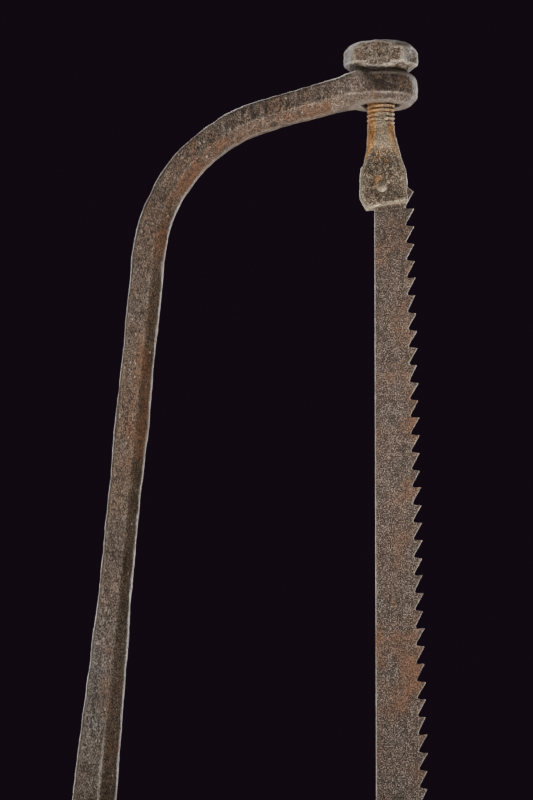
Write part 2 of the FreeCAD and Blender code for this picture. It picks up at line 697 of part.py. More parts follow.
def make_ferrule():
    """The iron ferrule over the grip's spigot, with a bead at each end."""
    inside = "sizes.ferrule_diameter / 2 - sizes.ferrule_wall"
    outside = "sizes.ferrule_diameter / 2"
    low = "places.grip_top - sizes.ferrule_length"
    high = "places.grip_top"
    bead = outside + " + sizes.ferrule_bead"
    turned_piece("ferrule", [
        (inside, low),
        (bead, low),
        (bead, low + " + sizes.ferrule_bead_length"),
        (outside, low + " + sizes.ferrule_bead_length * 1.4"),
        (outside, high + " - sizes.ferrule_bead_length * 1.4"),
        (bead, high + " - sizes.ferrule_bead_length"),
        (bead, high),
        (inside, high)])


def make_bolster_plate():
    """The octagonal plate between the jaw and the ferrule."""
    plate = new_body("bolster_plate")
    levels = [octagon(plate, "bolster_low", "places.grip_top", "sizes.bolster_across"),
              octagon(plate, "bolster_edge", "places.bolster_top - sizes.bolster_bevel", "sizes.bolster_across"),
              octagon(plate, "bolster_high", "places.bolster_top",
                      "sizes.bolster_across - 2 * sizes.bolster_bevel")]
    loft(plate, "plate", levels)
    tang_run(plate, "bolster_hole", "places.grip_top", "places.bolster_top", "sizes.tang_play", "Subtractive")


def make_butt_cap():
    """The domed iron cap that the tang is peened over."""
    rim = "sizes.butt_cap_diameter / 2"
    cap = turned_piece("butt_cap", [
        ("0", "places.grip_bottom"),
        (rim, "places.grip_bottom"),
        (rim, "places.grip_bottom - sizes.butt_cap_rim"),
        (rim + " * 0.85", "places.grip_bottom - (sizes.butt_cap_thickness + sizes.butt_cap_rim) / 2"),
        (rim + " * 0.55", "places.cap_bottom"),
        ("0", "places.cap_bottom")])
    tang_run(cap, "butt_cap_hole", "places.cap_bottom", "places.grip_bottom", "sizes.tang_play", "Subtractive")


make_bow_frame()
make_draw_bolt()
make_tension_nut()
make_cross_pin("tip_rivet", "sizes.rivet_offset", "places.rivet_height", "sizes.rivet_diameter",
               "sizes.fork_thickness", "sizes.rivet_head_diameter", "sizes.rivet_head_rise")
make_saw_blade()
make_cross_pin("heel_pin", "sizes.heel_pin_offset", "places.heel_pin_height", "sizes.heel_pin_diameter",
               "sizes.jaw_thickness", "sizes.heel_pin_diameter", "sizes.heel_pin_head_rise")
make_bolster_plate()
make_ferrule()
make_grip()
make_butt_cap()
doc.recompute()

for item in doc.Objects:
    if "Invalid" in item.State or "Error" in item.State:
        raise RuntimeError("%s failed to build" % item.Label)
for body in bodies:
    if body.Shape.isNull() or not body.Shape.isValid() or len(body.Shape.Solids) != 1:
        raise RuntimeError("%s is not one sound solid" % body.Label)

os.makedirs("parts", exist_ok=True)
for body in bodies:
    body.Shape.exportStep(os.path.join("parts", body.Label + ".step"))
    box = body.Shape.BoundBox
    print("%-14s volume %9.1f  x %7.2f %7.2f  y %6.2f %6.2f  z %7.2f %7.2f" % (
        body.Label, body.Shape.Volume, box.XMin, box.XMax, box.YMin, box.YMax, box.ZMin, box.ZMax))
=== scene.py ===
# %% [markdown]
# # A forged iron amputation saw
# The saw is a bow of forged iron with a coarse blade strained across it. A draw bolt and its nut pull the
# blade tight at the tip, and a pin holds it at the heel, above a wooden grip.
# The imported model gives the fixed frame: its solids say where everything is and what moves with what.
# This file dresses that frame, piece by piece, in metres.

# %% Load the frame
import bmesh
import bpy
import math
from functools import partial, reduce
from mathutils import Matrix, Vector, noise
from mathutils.kdtree import KDTree


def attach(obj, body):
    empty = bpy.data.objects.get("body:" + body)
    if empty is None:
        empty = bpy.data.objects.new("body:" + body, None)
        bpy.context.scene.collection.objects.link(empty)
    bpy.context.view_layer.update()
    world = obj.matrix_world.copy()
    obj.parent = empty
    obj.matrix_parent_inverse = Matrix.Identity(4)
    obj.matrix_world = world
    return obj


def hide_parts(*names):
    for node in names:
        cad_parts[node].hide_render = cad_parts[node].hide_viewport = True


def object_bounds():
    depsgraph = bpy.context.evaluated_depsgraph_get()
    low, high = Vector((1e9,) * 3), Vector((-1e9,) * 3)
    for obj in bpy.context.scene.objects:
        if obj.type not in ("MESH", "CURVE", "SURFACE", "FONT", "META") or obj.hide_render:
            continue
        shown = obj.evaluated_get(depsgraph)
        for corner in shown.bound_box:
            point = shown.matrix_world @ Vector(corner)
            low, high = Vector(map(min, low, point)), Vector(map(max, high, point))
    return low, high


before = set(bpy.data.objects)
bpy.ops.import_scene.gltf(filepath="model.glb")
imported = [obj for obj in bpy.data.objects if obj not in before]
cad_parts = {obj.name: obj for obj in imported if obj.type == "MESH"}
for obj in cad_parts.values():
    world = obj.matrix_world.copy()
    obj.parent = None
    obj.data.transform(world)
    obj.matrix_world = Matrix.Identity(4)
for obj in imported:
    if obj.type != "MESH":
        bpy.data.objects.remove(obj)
frame_low, frame_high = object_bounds()

# %% [markdown]
# ## Camera, light and floor
# The photograph was taken with a long lens from a little below, so the undersides of the eye and the nut
# show. A long focal length far away keeps the bow's lines nearly parallel. The camera isn't shifted: it is
# simply aimed at the middle of the picture.

# %% Camera
MM = 0.001
EYE_CENTRE = 450.3 * MM
AIM = Vector((-37 * MM, 0, EYE_CENTRE - 101.0 * MM))
LENS_PLACE = Vector((-37 * MM, -1465 * MM, EYE_CENTRE - 283.4 * MM))

camera_data = bpy.data.cameras.new("camera")
camera_data.lens = 206.9
camera_data.sensor_width = 36
camera = bpy.data.objects.new("camera", camera_data)
camera.location = LENS_PLACE
camera.rotation_euler = (AIM - LENS_PLACE).to_track_quat("-Z", "Y").to_euler()
bpy.context.scene.collection.objects.link(camera)
bpy.context.scene.camera = camera
print("camera looks up by %.1f degrees" % (math.degrees(camera.rotation_euler.x) - 90))


# %% [markdown]
# Old iron is nearly black, so most of what the eye reads is light on its edges. Two tall soft boxes stand
# behind the saw, one at each side, and draw a thin bright line down each edge of the bar. A broad one in
# front and a weaker one beside it show the surface, one high up lights the top of the bow, and a small
# narrow one lights the undersides. Each is an area light, because a large source gives soft highlights. All
# of them stand clear of the floor, and the camera doesn't see them.

# %% Lights
def soft_box(name, place, aim, size, power, tint=(1, 1, 1), spread=180):
    """A rectangular area light that faces the given point; spread is the width of its beam in degrees."""
    data = bpy.data.lights.new(name, "AREA")
    data.shape = "RECTANGLE"
    data.size, data.size_y = size
    data.energy = power
    data.color = tint
    data.spread = math.radians(spread)
    lamp = bpy.data.objects.new(name, data)
    lamp.location = place
    lamp.rotation_euler = (Vector(aim) - Vector(place)).to_track_quat("-Z", "Y").to_euler()
    lamp.visible_camera = False
    bpy.context.scene.collection.objects.link(lamp)


SAW_MIDDLE, BOW_TOP, EYE_UNDERSIDE = (-0.04, 0, 0.27), (-0.04, 0, 0.42), (0, 0, 0.45)
soft_box("key_box", (-1.05, -1.2, 0.37), SAW_MIDDLE, (0.6, 0.8), 6.5, (1, 0.975, 0.945))
soft_box("left_box", (-0.7, 0.85, 0.47), SAW_MIDDLE, (0.25, 1.0), 3.4, (0.97, 0.98, 1), 110)
soft_box("right_box", (0.65, 0.9, 0.47), SAW_MIDDLE, (0.25, 1.0), 4.0, (0.98, 0.98, 1), 110)
soft_box("top_box", (-0.35, 0.5, 1.15), BOW_TOP, (0.7, 0.25), 8, (0.98, 0.98, 1))
soft_box("fill_box", (0.7, -1.1, 1.0), SAW_MIDDLE, (0.5, 0.8), 2.3, (1, 0.97, 0.93))
soft_box("low_box", (0.12, -0.38, 0.02), EYE_UNDERSIDE, (0.35, 0.2), 0.45, (1, 0.90, 0.79), 50)
print("lamps:", len(bpy.data.lights))

# %% [markdown]
# The floor is one pale, matt square, level with the saw's lowest point.

# %% Floor and backdrop
world = bpy.data.worlds.new("dark_room")
world.use_nodes = True
world.node_tree.nodes["Background"].inputs["Color"].default_value = (0.0092, 0.0048, 0.0092, 1)
bpy.context.scene.world = world

floor_material = bpy.data.materials.new("pale_floor")
floor_material.use_nodes = True
floor_shader = floor_material.node_tree.nodes["Principled BSDF"]
floor_shader.inputs["Base Color"].default_value = (0.72, 0.70, 0.67, 1)
floor_shader.inputs["Roughness"].default_value = 0.8

floor_mesh = bpy.data.meshes.new("floor")
reach, level = 3.0, frame_low.z
floor_mesh.from_pydata([(-reach, -reach, level), (reach, -reach, level), (reach, reach, level),
                        (-reach, reach, level)], [], [(0, 1, 2, 3)])
floor_mesh.materials.append(floor_material)
floor = bpy.data.objects.new("floor", floor_mesh)
bpy.context.scene.collection.objects.link(floor)
print("floor at %.4f m" % level)


# %% [markdown]
# ## Node helpers
# Every finish here is procedural: noise and cell patterns in the object's own coordinates, so that nothing
# slides when the piece moves. Node trees are wordy to write, so small helpers add the nodes. A socket knows
# which tree it is in, so only the first helper has to be told the tree.

# %% Node helpers
def node(tree, kind, inputs=None, **settings):
    """Add a node, set its properties, and fill or link its inputs by name or number."""
    made = tree.nodes.new(kind)
    for key, value in settings.items():
        setattr(made, key, value)
    for key, value in (inputs or {}).items():
        if isinstance(value, bpy.types.NodeSocket):
            tree.links.new(value, made.inputs[key])
        else:
            made.inputs[key].default_value = value
    return made


def maths(operation, first, second=0.0):
    """One step of arithmetic on two values, at least one of them a socket."""
    tree = next(value.id_data for value in (first, second) if isinstance(value, bpy.types.NodeSocket))
    return node(tree, "ShaderNodeMath", {0: first, 1: second}, operation=operation).outputs[0]


def folded(operation):
    """A function that joins two or more values with one operation, from left to right."""
    return lambda *values: reduce(partial(maths, operation), values)


add, sub, mul, div, least, most = (folded(operation) for operation in (
    "ADD", "SUBTRACT", "MULTIPLY", "DIVIDE", "MINIMUM", "MAXIMUM"))


def span(value, low, high, bottom=0.0, top=1.0):
    """Stretch a value from one range to another, and hold it there."""
    given = {0: value, 1: low, 2: high, 3: bottom, 4: top}
    return node(value.id_data, "ShaderNodeMapRange", given).outputs[0]


def parts_of(vector):
    """The X, Y and Z of a vector."""
    return node(vector.id_data, "ShaderNodeSeparateXYZ", {0: vector}).outputs


# %% [markdown]
# The next helpers are for materials: noise of a given size, coordinates drawn out along an axis, a mix of
# two colours, a vertex attribute, a spot around a point, and a bump.

# %% Material helpers
def new_material(name):
    """An empty node material: itself, its tree, its shader and its object coordinates."""
    material = bpy.data.materials.new(name)
    material.use_nodes = True
    tree = material.node_tree
    return material, tree, tree.nodes["Principled BSDF"], node(tree, "ShaderNodeTexCoord").outputs["Object"]


def grain(place, size, detail=3, rough=0.6):
    """Noise whose main features have the given size in millimetres."""
    return node(place.id_data, "ShaderNodeTexNoise", {"Vector": place, "Scale": 1000 / size, "Detail": detail,
                                                      "Roughness": rough}).outputs["Fac"]


def stretched(place, scale):
    """Coordinates scaled along each axis, to draw a pattern out."""
    return node(place.id_data, "ShaderNodeMapping", {"Vector": place, "Scale": scale}).outputs[0]


def scaled(colour, share):
    """A colour made darker or lighter."""
    return tuple(part * share for part in colour)


def blend(share, first, second, mode="MIX"):
    """Mix two colours."""
    made = node(share.id_data, "ShaderNodeMix", {0: share}, data_type="RGBA", blend_type=mode)
    for socket, value in ((made.inputs[6], first), (made.inputs[7], second)):
        if isinstance(value, bpy.types.NodeSocket):
            share.id_data.links.new(value, socket)
        else:
            socket.default_value = (*value, 1)
    return made.outputs[2]


def attribute(tree, name):
    """A vertex attribute, which is 0 on a mesh that doesn't have it."""
    return node(tree, "ShaderNodeAttribute", attribute_name=name).outputs["Fac"]


def near(place, centre, reach, fade):
    """A value of 1 around a point in millimetres, falling to 0 over the fade."""
    ends = {0: place, 1: scaled(centre, MM)}
    away = node(place.id_data, "ShaderNodeVectorMath", ends, operation="DISTANCE").outputs["Value"]
    return span(away, (reach + fade) * MM, reach * MM)


def raised(shader, height, strength, depth):
    """Bump a shader's surface by a height pattern, the depth in millimetres."""
    tree = shader.id_data
    bump = node(tree, "ShaderNodeBump", {"Height": height, "Strength": strength, "Distance": depth * MM})
    tree.links.new(bump.outputs[0], shader.inputs["Normal"])


# %% [markdown]
# ## Forged iron
# Hand-forged iron that has been handled and stored for centuries is a dark brown-grey, speckled all over by
# fine pits, with rust-brown clouds and bright metal on the edges that hands and cloths have rubbed. The
# speckle is noise of a third of a millimetre through three tones, and slower noise drifts under it. Rust
# gathers where a given function says it should, such as in a thread or along the teeth. The rubbed edges
# come from a vertex attribute, "wear", which a helper further down measures on each mesh; on the bow, the nut
# and the pins it also carries painted highlights. A second one, "bevel", is 1 on the bow's inner bevel, which
# the finish darkens as painted shade, -1 on its rusty outer edges, and 0 on all other pieces.

# %% Iron finish
def iron_finish(name, tones, rust, worn, speckle=0.38, rust_share=0.4, rust_at=None, skin_and_shade_at=None,
                pale_at=None, drawn=(1, 1, 1), roughness=0.5, metal=0.5, pit_size=1.7, drift=0.4,
                patch=4.2, soft=0.1):
    """Pitted old iron: tones holds its dark, middle and light colour, and soft says how gently they meet.
    rust_at says where rust lies, skin_and_shade_at where a smooth dark skin, dark marks and painted shade
    darken the iron, and pale_at where it is paler."""
    material, tree, shader, place = new_material(name)
    dark, middle, light = tones
    long = stretched(place, drawn)
    fine, grit = grain(long, speckle, 2, 0.7), grain(long, speckle * 3.2, 3, 0.65)
    clouds = grain(long, 12, 4, 0.62)
    bevel = attribute(tree, "bevel")

    tone = add(mul(fine, 0.8), mul(grit, 0.2))
    base = blend(span(tone, 0.43 - soft, 0.43 + soft), dark, middle)
    base = blend(span(tone, 0.58 - 0.8 * soft, 0.58 + 0.8 * soft), base, light)
    base = blend(span(grain(long, patch, 3, 0.6), 0.48, 0.66, 0, drift), base, scaled(dark, 1.2))
    base = blend(span(grain(place, 9, 3), 0.40, 0.62, 0, 0.6), base, (0.82, 0.93, 1.0), "MULTIPLY")
    if pale_at:
        base = blend(pale_at(place), base, (1.15, 1.30, 1.45), "MULTIPLY")

    rusted = add(clouds, mul(sub(tone, 0.5), 0.8), span(bevel, 0, -1, 0, 0.13))
    if rust_at:
        rusted = add(rusted, rust_at(place))
    rusted = span(rusted, 0.64 - 0.22 * rust_share, 0.88 - 0.22 * rust_share)
    base = blend(mul(rusted, 0.8), base, blend(span(tone, 0.41, 0.58), scaled(rust, 0.2), rust))
    # painted shade: the bow's inner bevel, where the bevel attribute is 1, is darkened; the next line darkens
    # the rusty outer edges
    base = blend(span(bevel, 0, 1), base, (0.62, 0.56, 0.47), "MULTIPLY")
    base = blend(span(bevel, 0, -1), base, (0.70, 0.63, 0.58), "MULTIPLY")

    cells = node(tree, "ShaderNodeTexVoronoi", {"Vector": long, "Scale": 1000 / pit_size}).outputs
    pits = mul(span(cells["Distance"], 0.05, 0.24, 1, 0), span(grain(place, 4.5, 3), 0.52, 0.64))
    base = blend(mul(pits, 0.7), base, scaled(dark, 0.4))
    flecks = mul(span(cells["Distance"], 0.08, 0.17, 1, 0), span(cells["Color"], 0.66, 0.70))
    base = blend(mul(flecks, 0.8), base, worn)

    # the wear attribute: worn edges, with painted highlights added on the bow, the nut and the pins
    rubbed = mul(attribute(tree, "wear"), span(tone, 0.38, 0.53, 0.15, 1), span(rusted, 0, 1, 1, 0.12))
    rough = add(span(tone, 0.38, 0.62, roughness + 0.20, roughness - 0.15), mul(rusted, 0.2))
    if skin_and_shade_at:
        # skin_and_shade_at darkens the colour: a dark skin on the bolt's fork, hammer marks on the bow's arm,
        # painted shade on the front of the bow's eye, and a darker patch just under the fork on the blade
        skin = mul(skin_and_shade_at(place), span(grit, 0.3, 0.7, 1, 0.6))
        base = blend(skin, base, scaled(dark, 1.3))
        rough = sub(rough, mul(skin, 0.12))
    tree.links.new(blend(rubbed, base, worn), shader.inputs["Base Color"])
    tree.links.new(sub(rough, mul(rubbed, 0.12)), shader.inputs["Roughness"])
    tree.links.new(span(rusted, 0, 1, metal, 0.1), shader.inputs["Metallic"])
    raised(shader, add(sub(tone, mul(pits, 0.8)), mul(clouds, 1.6)), 1.0, 0.16)
    return material


# %% [markdown]
# Three functions say where the bow differs. The front of its eye is darkened, which is painted shade,
# and its arm keeps dark hammer marks. Rust runs in streaks along the bar. Lower down the back,
# where the saw was held, the iron is paler and greyer.

# %% The bow, nut and fittings finishes
EYE_HEIGHT = EYE_CENTRE / MM


def eye_shade_and_arm_marks(place):
    """Painted shade on the front of the eye, and the dark hammer marks on the arm."""
    eye = mul(near(place, (1.0, -12, EYE_HEIGHT + 0.8), 3.0, 4.5), span(grain(place, 4, 3), 0.30, 0.50))
    marks = span(grain(stretched(place, (1, 0.5, 0.22)), 1.6, 3, 0.7), 0.47, 0.60, 0, 0.85)
    return most(eye, mul(marks, near(place, (-37, -5, EYE_HEIGHT - 8.5), 8, 16)))


def bow_rust(place):
    """Rust in streaks along the bar, most of it where damp ran down the middle of the back."""
    streaks = span(grain(stretched(place, (1, 1, 0.12)), 2.2, 3), 0.42, 0.68, -0.05, 0.10)
    back = near(place, (-80, -5, EYE_HEIGHT - 109), 10, 32)
    return add(streaks, mul(most(back, near(place, (-8, -2, EYE_HEIGHT - 374), 9, 9)), 0.09))


def held_place(place):
    """Where the back of the bow was held."""
    return near(place, (-93, -5, EYE_HEIGHT - 193), 8, 26)


bow_iron = iron_finish("bow_iron", ((0.015, 0.0105, 0.0085), (0.122, 0.088, 0.069), (0.52, 0.41, 0.335)),
                       rust=(0.26, 0.120, 0.055), worn=(0.56, 0.50, 0.43), speckle=0.29, rust_share=0.42,
                       rust_at=bow_rust, skin_and_shade_at=eye_shade_and_arm_marks, pale_at=held_place, drawn=(1, 1, 0.5),
                       roughness=0.54, soft=0.11)
nut_iron = iron_finish("worn_iron", ((0.008, 0.0055, 0.004), (0.064, 0.044, 0.031), (0.54, 0.40, 0.29)),
                       rust=(0.22, 0.105, 0.042), worn=(0.85, 0.77, 0.66), speckle=0.36, rust_share=0.5,
                       roughness=0.62, metal=0.1, drift=0.6, patch=3, soft=0.05)
fitting_iron = iron_finish("fitting_iron",
                           ((0.020, 0.017, 0.015), (0.070, 0.058, 0.050), (0.23, 0.195, 0.165)),
                           rust=(0.15, 0.075, 0.04), worn=(0.38, 0.34, 0.30), speckle=0.42, rust_share=0.3,
                           roughness=0.45)
print("iron finishes:", bow_iron.name, nut_iron.name, fitting_iron.name)


# %% [markdown]
# ## Shells from rings
# Most pieces of the saw are long or round, so one helper builds them all: it takes a row of rings, each with
# the same number of points, and stretches a skin over them. A row that closes on itself makes a collar, and
# an open row gets its two ends closed. All the ring code is in millimetres, as the saw was measured.

# %% Ring helpers
def shell(rings, looped=False):
    """A closed bmesh over rings of points in millimetres."""
    made = bmesh.new()
    rows = [[made.verts.new(Vector(point) * MM) for point in ring] for ring in rings]
    pairs = list(zip(rows, rows[1:])) + ([(rows[-1], rows[0])] if looped else [])
    count = len(rows[0])
    for lower, upper in pairs:
        for index in range(count):
            after = (index + 1) % count
            made.faces.new((lower[index], lower[after], upper[after], upper[index]))
    if not looped:
        for row in (rows[0], rows[-1]):
            centre = made.verts.new(sum((vertex.co for vertex in row), Vector()) / count)
            for index in range(count):
                made.faces.new((row[index], row[(index + 1) % count], centre))
    bmesh.ops.recalc_face_normals(made, faces=made.faces)
    return made


def rounded(corners, radius, arc=3, pitch=1.2):
    """Points round a polygon whose corners are eased by a radius, with extra points on long flats."""
    points = []
    count = len(corners)
    for index, corner in enumerate(corners):
        here, before, after = Vector(corner), Vector(corners[index - 1]), Vector(corners[(index + 1) % count])
        back, ahead = before - here, after - here
        ease = min(radius, back.length * 0.45, ahead.length * 0.45)
        start, end = here + back.normalized() * ease, here + ahead.normalized() * ease
        for step in range(arc):
            share = step / (arc - 1)
            points.append(start.lerp(here, share).lerp(here.lerp(end, share), share))
        reach = min(radius, ahead.length * 0.45)
        following = Vector(corners[(index + 2) % count]) - after
        stop = after + (here - after).normalized() * min(radius, ahead.length * 0.45, following.length * 0.45)
        start = here + ahead.normalized() * min(reach, back.length * 0.45)
        steps = max(1, round((stop - start).length / pitch))
        points.extend(start.lerp(stop, step / steps) for step in range(1, steps))
    return points


# %% [markdown]
# No forged surface is flat. A smith's hammer leaves shallow facets some 10 to 20 mm long, and rust roughens
# what lies between. So each mesh is pushed in and out along its normals by smooth noise at two or three
# lengths. Then the helper measures how sharply the mesh turns outwards at each vertex, and keeps that as the
# wear attribute that the finish reads.

# %% Surface helpers
def hammered(made, marks, seed=0.0):
    """Push the vertices along their normals by noise; marks are pairs of length and depth in millimetres."""
    made.normal_update()
    for vertex in made.verts:
        place = vertex.co / MM + Vector((seed, 0, 0))
        push = sum(noise.noise(place / length) * depth for length, depth in marks)
        vertex.co += vertex.normal * push * MM


def measured_wear(made, full_angle, spread):
    """The wear at each vertex, from how much its edges turn outwards, spread to its neighbours."""
    made.normal_update()
    wear = []
    for vertex in made.verts:
        turns = [edge.calc_face_angle_signed(0) for edge in vertex.link_edges if len(edge.link_faces) == 2]
        wear.append(max(0.0, min(1.0, max(turns, default=0) / full_angle)))
    made.verts.index_update()
    for _ in range(spread):
        wear = [0.5 * wear[vertex.index] + 0.5 * max([wear[edge.other_vert(vertex).index]
                for edge in vertex.link_edges] + [wear[vertex.index]]) for vertex in made.verts]
    return wear


# %% [markdown]
# A bmesh is easy to build, but modifiers work on objects, so two helpers go from one to the other and back.
# The last one makes the finished object: it stores the attributes, shades it smooth except at sharp edges,
# and prints its size.

# %% Object helpers
def as_object(made, name="part"):
    """Put a bmesh into the scene as an object."""
    mesh = bpy.data.meshes.new(name)
    made.to_mesh(mesh)
    made.free()
    item = bpy.data.objects.new(name, mesh)
    bpy.context.scene.collection.objects.link(item)
    return item


def discard(item):
    """Delete an object and its mesh."""
    mesh = item.data
    bpy.data.objects.remove(item)
    bpy.data.meshes.remove(mesh)


def as_bmesh(item):
    """Take an object, as its modifiers leave it, back out of the scene as a bmesh."""
    graph = bpy.context.evaluated_depsgraph_get()
    result = bmesh.new()
    result.from_mesh(item.evaluated_get(graph).to_mesh())
    discard(item)
    return result


def joined(shells):
    """Put several closed shells into one bmesh."""
    whole = bmesh.new()
    for part in shells:
        item = as_object(part)
        whole.from_mesh(item.data)
        discard(item)
    return whole


def finish_mesh(name, made, material, full_angle=0.5, smooth=50, spread=1, handled=None, bevel_shade_and_rust=None):
    """Turn a bmesh into a finished object. handled changes the measured wear, and sided gives the bevel
    attribute: painted shade on the bow's inner bevel, rust on its outer edges.
    """
    wear = measured_wear(made, full_angle, spread)
    if handled:
        wear = [handled(value, vertex.co / MM, vertex.normal) for value, vertex in zip(wear, made.verts)]
    bevel = [bevel_shade_and_rust(vertex.co / MM, vertex.normal) for vertex in made.verts] if bevel_shade_and_rust else None
    piece = as_object(made, name)
    mesh = piece.data
    mesh.materials.append(material)
    mesh.attributes.new("wear", "FLOAT", "POINT").data.foreach_set("value", wear)
    if bevel:
        mesh.attributes.new("bevel", "FLOAT", "POINT").data.foreach_set("value", bevel)
    mesh.shade_smooth()
    mesh.set_sharp_from_angle(angle=math.radians(smooth))
    print("%s: %d faces" % (name, len(mesh.polygons)))
    return piece


# %% [markdown]
# ## The bow
# The bow is one forging. Its bar runs from the eye along a sloping arm, round the tip bend, down a long back
# that leans away from the blade and grows wider, round the heel bend and into the jaw. The bar is bevelled
# along its inner side, which is the dark band in the photograph, and only eased along its outer side.
# The centreline is three straight runs and two arcs, so the rings are placed by those and nothing else.

# %% The bow's centreline
ARM_SLOPE, BACK_LEAN, HEEL_SLOPE = (math.radians(angle) for angle in (16, 5.46, 12))
TIP_BEND, HEEL_BEND = 53.0, 50.0
TIP_CORNER = Vector((-71.45, EYE_HEIGHT - 18.29))
HEEL_CORNER = Vector((-103.28, EYE_HEIGHT - 351.35))
ARM_ROOT_X, HEEL_END_X = -5.5, -8.65
STATION_STEP = 1.1


def heading(angle):
    """A unit vector in the saw's plane."""
    return Vector((math.cos(angle), math.sin(angle)))


def bow_line():
    """Stations along the centreline: place, outward direction, and how far along the station is."""
    runs = []
    arm_way = heading(math.pi + ARM_SLOPE)
    back_way = heading(-math.pi / 2 - BACK_LEAN)
    heel_way = heading(-HEEL_SLOPE)
    tip_cut = TIP_BEND * math.tan((math.pi / 2 - BACK_LEAN - ARM_SLOPE) / 2)
    heel_cut = HEEL_BEND * math.tan((math.pi / 2 + BACK_LEAN - HEEL_SLOPE) / 2)
    arm_start = TIP_CORNER - arm_way * ((TIP_CORNER.x - ARM_ROOT_X) / arm_way.x)
    arm_end = TIP_CORNER - arm_way * tip_cut
    back_start = TIP_CORNER + back_way * tip_cut
    back_end = HEEL_CORNER - back_way * heel_cut
    heel_start = HEEL_CORNER + heel_way * heel_cut
    heel_end = heel_start + heel_way * ((HEEL_END_X - heel_start.x) / heel_way.x)
    for kind, start, end, way, radius in (("arm", arm_start, arm_end, arm_way, 0),
                                          ("tip_bend", arm_end, back_start, arm_way, TIP_BEND),
                                          ("back", back_start, back_end, back_way, 0),
                                          ("heel_bend", back_end, heel_start, back_way, HEEL_BEND),
                                          ("heel_arm", heel_start, heel_end, heel_way, 0)):
        outward = Vector((way.y, -way.x))
        if radius:
            centre = start - outward * radius
            turn = outward.angle_signed(end - centre)
            steps = round(abs(turn) * radius / STATION_STEP)
            for step in range(steps):
                out = outward.copy()
                out.rotate(Matrix.Rotation(-turn * step / steps, 2))
                runs.append((kind, step / steps, centre + out * radius, out))
        else:
            steps = round((end - start).length / STATION_STEP)
            for step in range(steps):
                runs.append((kind, step / steps, start.lerp(end, step / steps), outward))
    runs.append(("heel_arm", 1.0, heel_end, Vector((heel_way.y, -heel_way.x))))
    return runs


stations = bow_line()
print("bow stations:", len(stations))


# %% [markdown]
# The section is a bevelled rectangle. Its width and the width of its inner bevel change along the bow, so a
# small function gives both at each station. Near the eye the bar swells sideways, which is how a smith blends
# a bar into a punched eye.

# %% The bar's section along the bow
HALF_BAR = 5.25
FLARE_START = 0.435


def ease(share):
    """A smooth step from 0 to 1."""
    share = max(0.0, min(1.0, share))
    return share * share * (3 - 2 * share)


def bar_shape(kind, share, place):
    """Width, bevel width and half thickness of the bar at a station."""
    width, bevel, half = 10.4, 2.7, HALF_BAR
    if kind == "arm":
        width = 9.5 + 0.3 * share
        half += 5.0 * ease((place.x + 18) / 13)
    elif kind == "tip_bend":
        width = 9.8 + 0.6 * share
    elif kind == "back":
        flare = max(0.0, (share - FLARE_START) / (1 - FLARE_START))
        width += 7.5 * flare
        bevel += 3.8 * flare
    elif kind == "heel_bend":
        width, bevel = 17.9, 6.5
    else:
        width, bevel = 17.9 - 4.9 * share, 6.5 - 3.8 * share
    return width, bevel, half


def bar_ring(kind, share, place, outward):
    """One ring of the bar."""
    width, bevel, half = bar_shape(kind, share, place)
    top, bottom = width / 2, -width / 2
    side = [(half - 1.0, top), (half, top - 0.5), (half, bottom + 1.1 + bevel), (half - 2.0, bottom + 1.1),
            (half - 3.4, bottom)]
    corners = side + [(-across, out) for across, out in reversed(side)]
    ring = []
    for across, out in rounded(corners, 0.45, 3, 50):
        spot = place + outward * out
        ring.append(Vector((spot.x, across, spot.y)))
    return ring


bar = shell([bar_ring(*station) for station in stations])
print("bar:", len(bar.faces), "faces")


# %% [markdown]
# The eye is a thick ring punched in the end of the bar. A ring is easiest as a loop of rings: round the
# outside, over the top, down the hole and back along the bottom.

# %% The eye
def lathe(profile, segments=96, radius_at=None):
    """Rings for a loop or row of (radius, height) pairs turned about a vertical axis."""
    rings = []
    for radius, height in profile:
        ring = []
        for index in range(segments):
            angle = 2 * math.pi * index / segments
            here = radius_at(radius, height, angle) if radius_at else radius
            ring.append((here * math.cos(angle), here * math.sin(angle), height))
        rings.append(ring)
    return rings


def eased_profile(corners, radius, pitch=1.0):
    """A closed profile of (radius, height) pairs with eased corners."""
    return [tuple(point) for point in rounded(corners, radius, 4, pitch)]


HOLE_RADIUS = 6.6
eye_profile = [(radius, EYE_HEIGHT + rise) for radius, rise in eased_profile(
    [(HOLE_RADIUS, -5.3), (9.3, -5.3), (11.9, -2.7), (12.1, 0), (11.9, 2.6), (11.2, 4.2), (9.8, 5.3),
     (HOLE_RADIUS, 5.3)], 0.35)]
eye = shell(lathe(eye_profile, 110), looped=True)
print("eye:", len(eye.faces), "faces")

# %% [markdown]
# At the heel the bow ends in a jaw: a block with a saw cut down its middle for the blade's heel. The block is
# skinned over rings like the bar, and the cut is a boolean difference, because it has square inner corners
# that rings can't give.

# %% The jaw and the peened end of the tang
JAW_LOW, JAW_TOP, JAW_REACH, JAW_HALF, JAW_CORNER = 62.0, 95.0, 10.0, 6.5, 1.4
JAW_CUT, JAW_CUT_FLOOR = 0.9, 71
jaw_levels = [(height, 0.0) for height in (JAW_LOW, JAW_LOW + 0.8, 70, 78, 86, JAW_TOP - 4)]
jaw_levels += [(JAW_TOP - 2.6, 0.5), (JAW_TOP - 1.2, 1.6), (JAW_TOP - 0.3, 3.0), (JAW_TOP, 4.0)]
jaw_rings = []
for level, drawn_in in jaw_levels:
    wide, deep = JAW_REACH - drawn_in, JAW_HALF - drawn_in * 0.25
    inner, shallow = wide - JAW_CORNER, deep - JAW_CORNER
    outline = rounded([(-wide, -shallow), (-inner, -deep), (inner, -deep), (wide, -shallow), (wide, shallow),
                       (inner, deep), (-inner, deep), (-wide, shallow)], 0.4, 3, 50)
    jaw_rings.append([(point.x, point.y, level) for point in outline])
jaw = shell(jaw_rings)


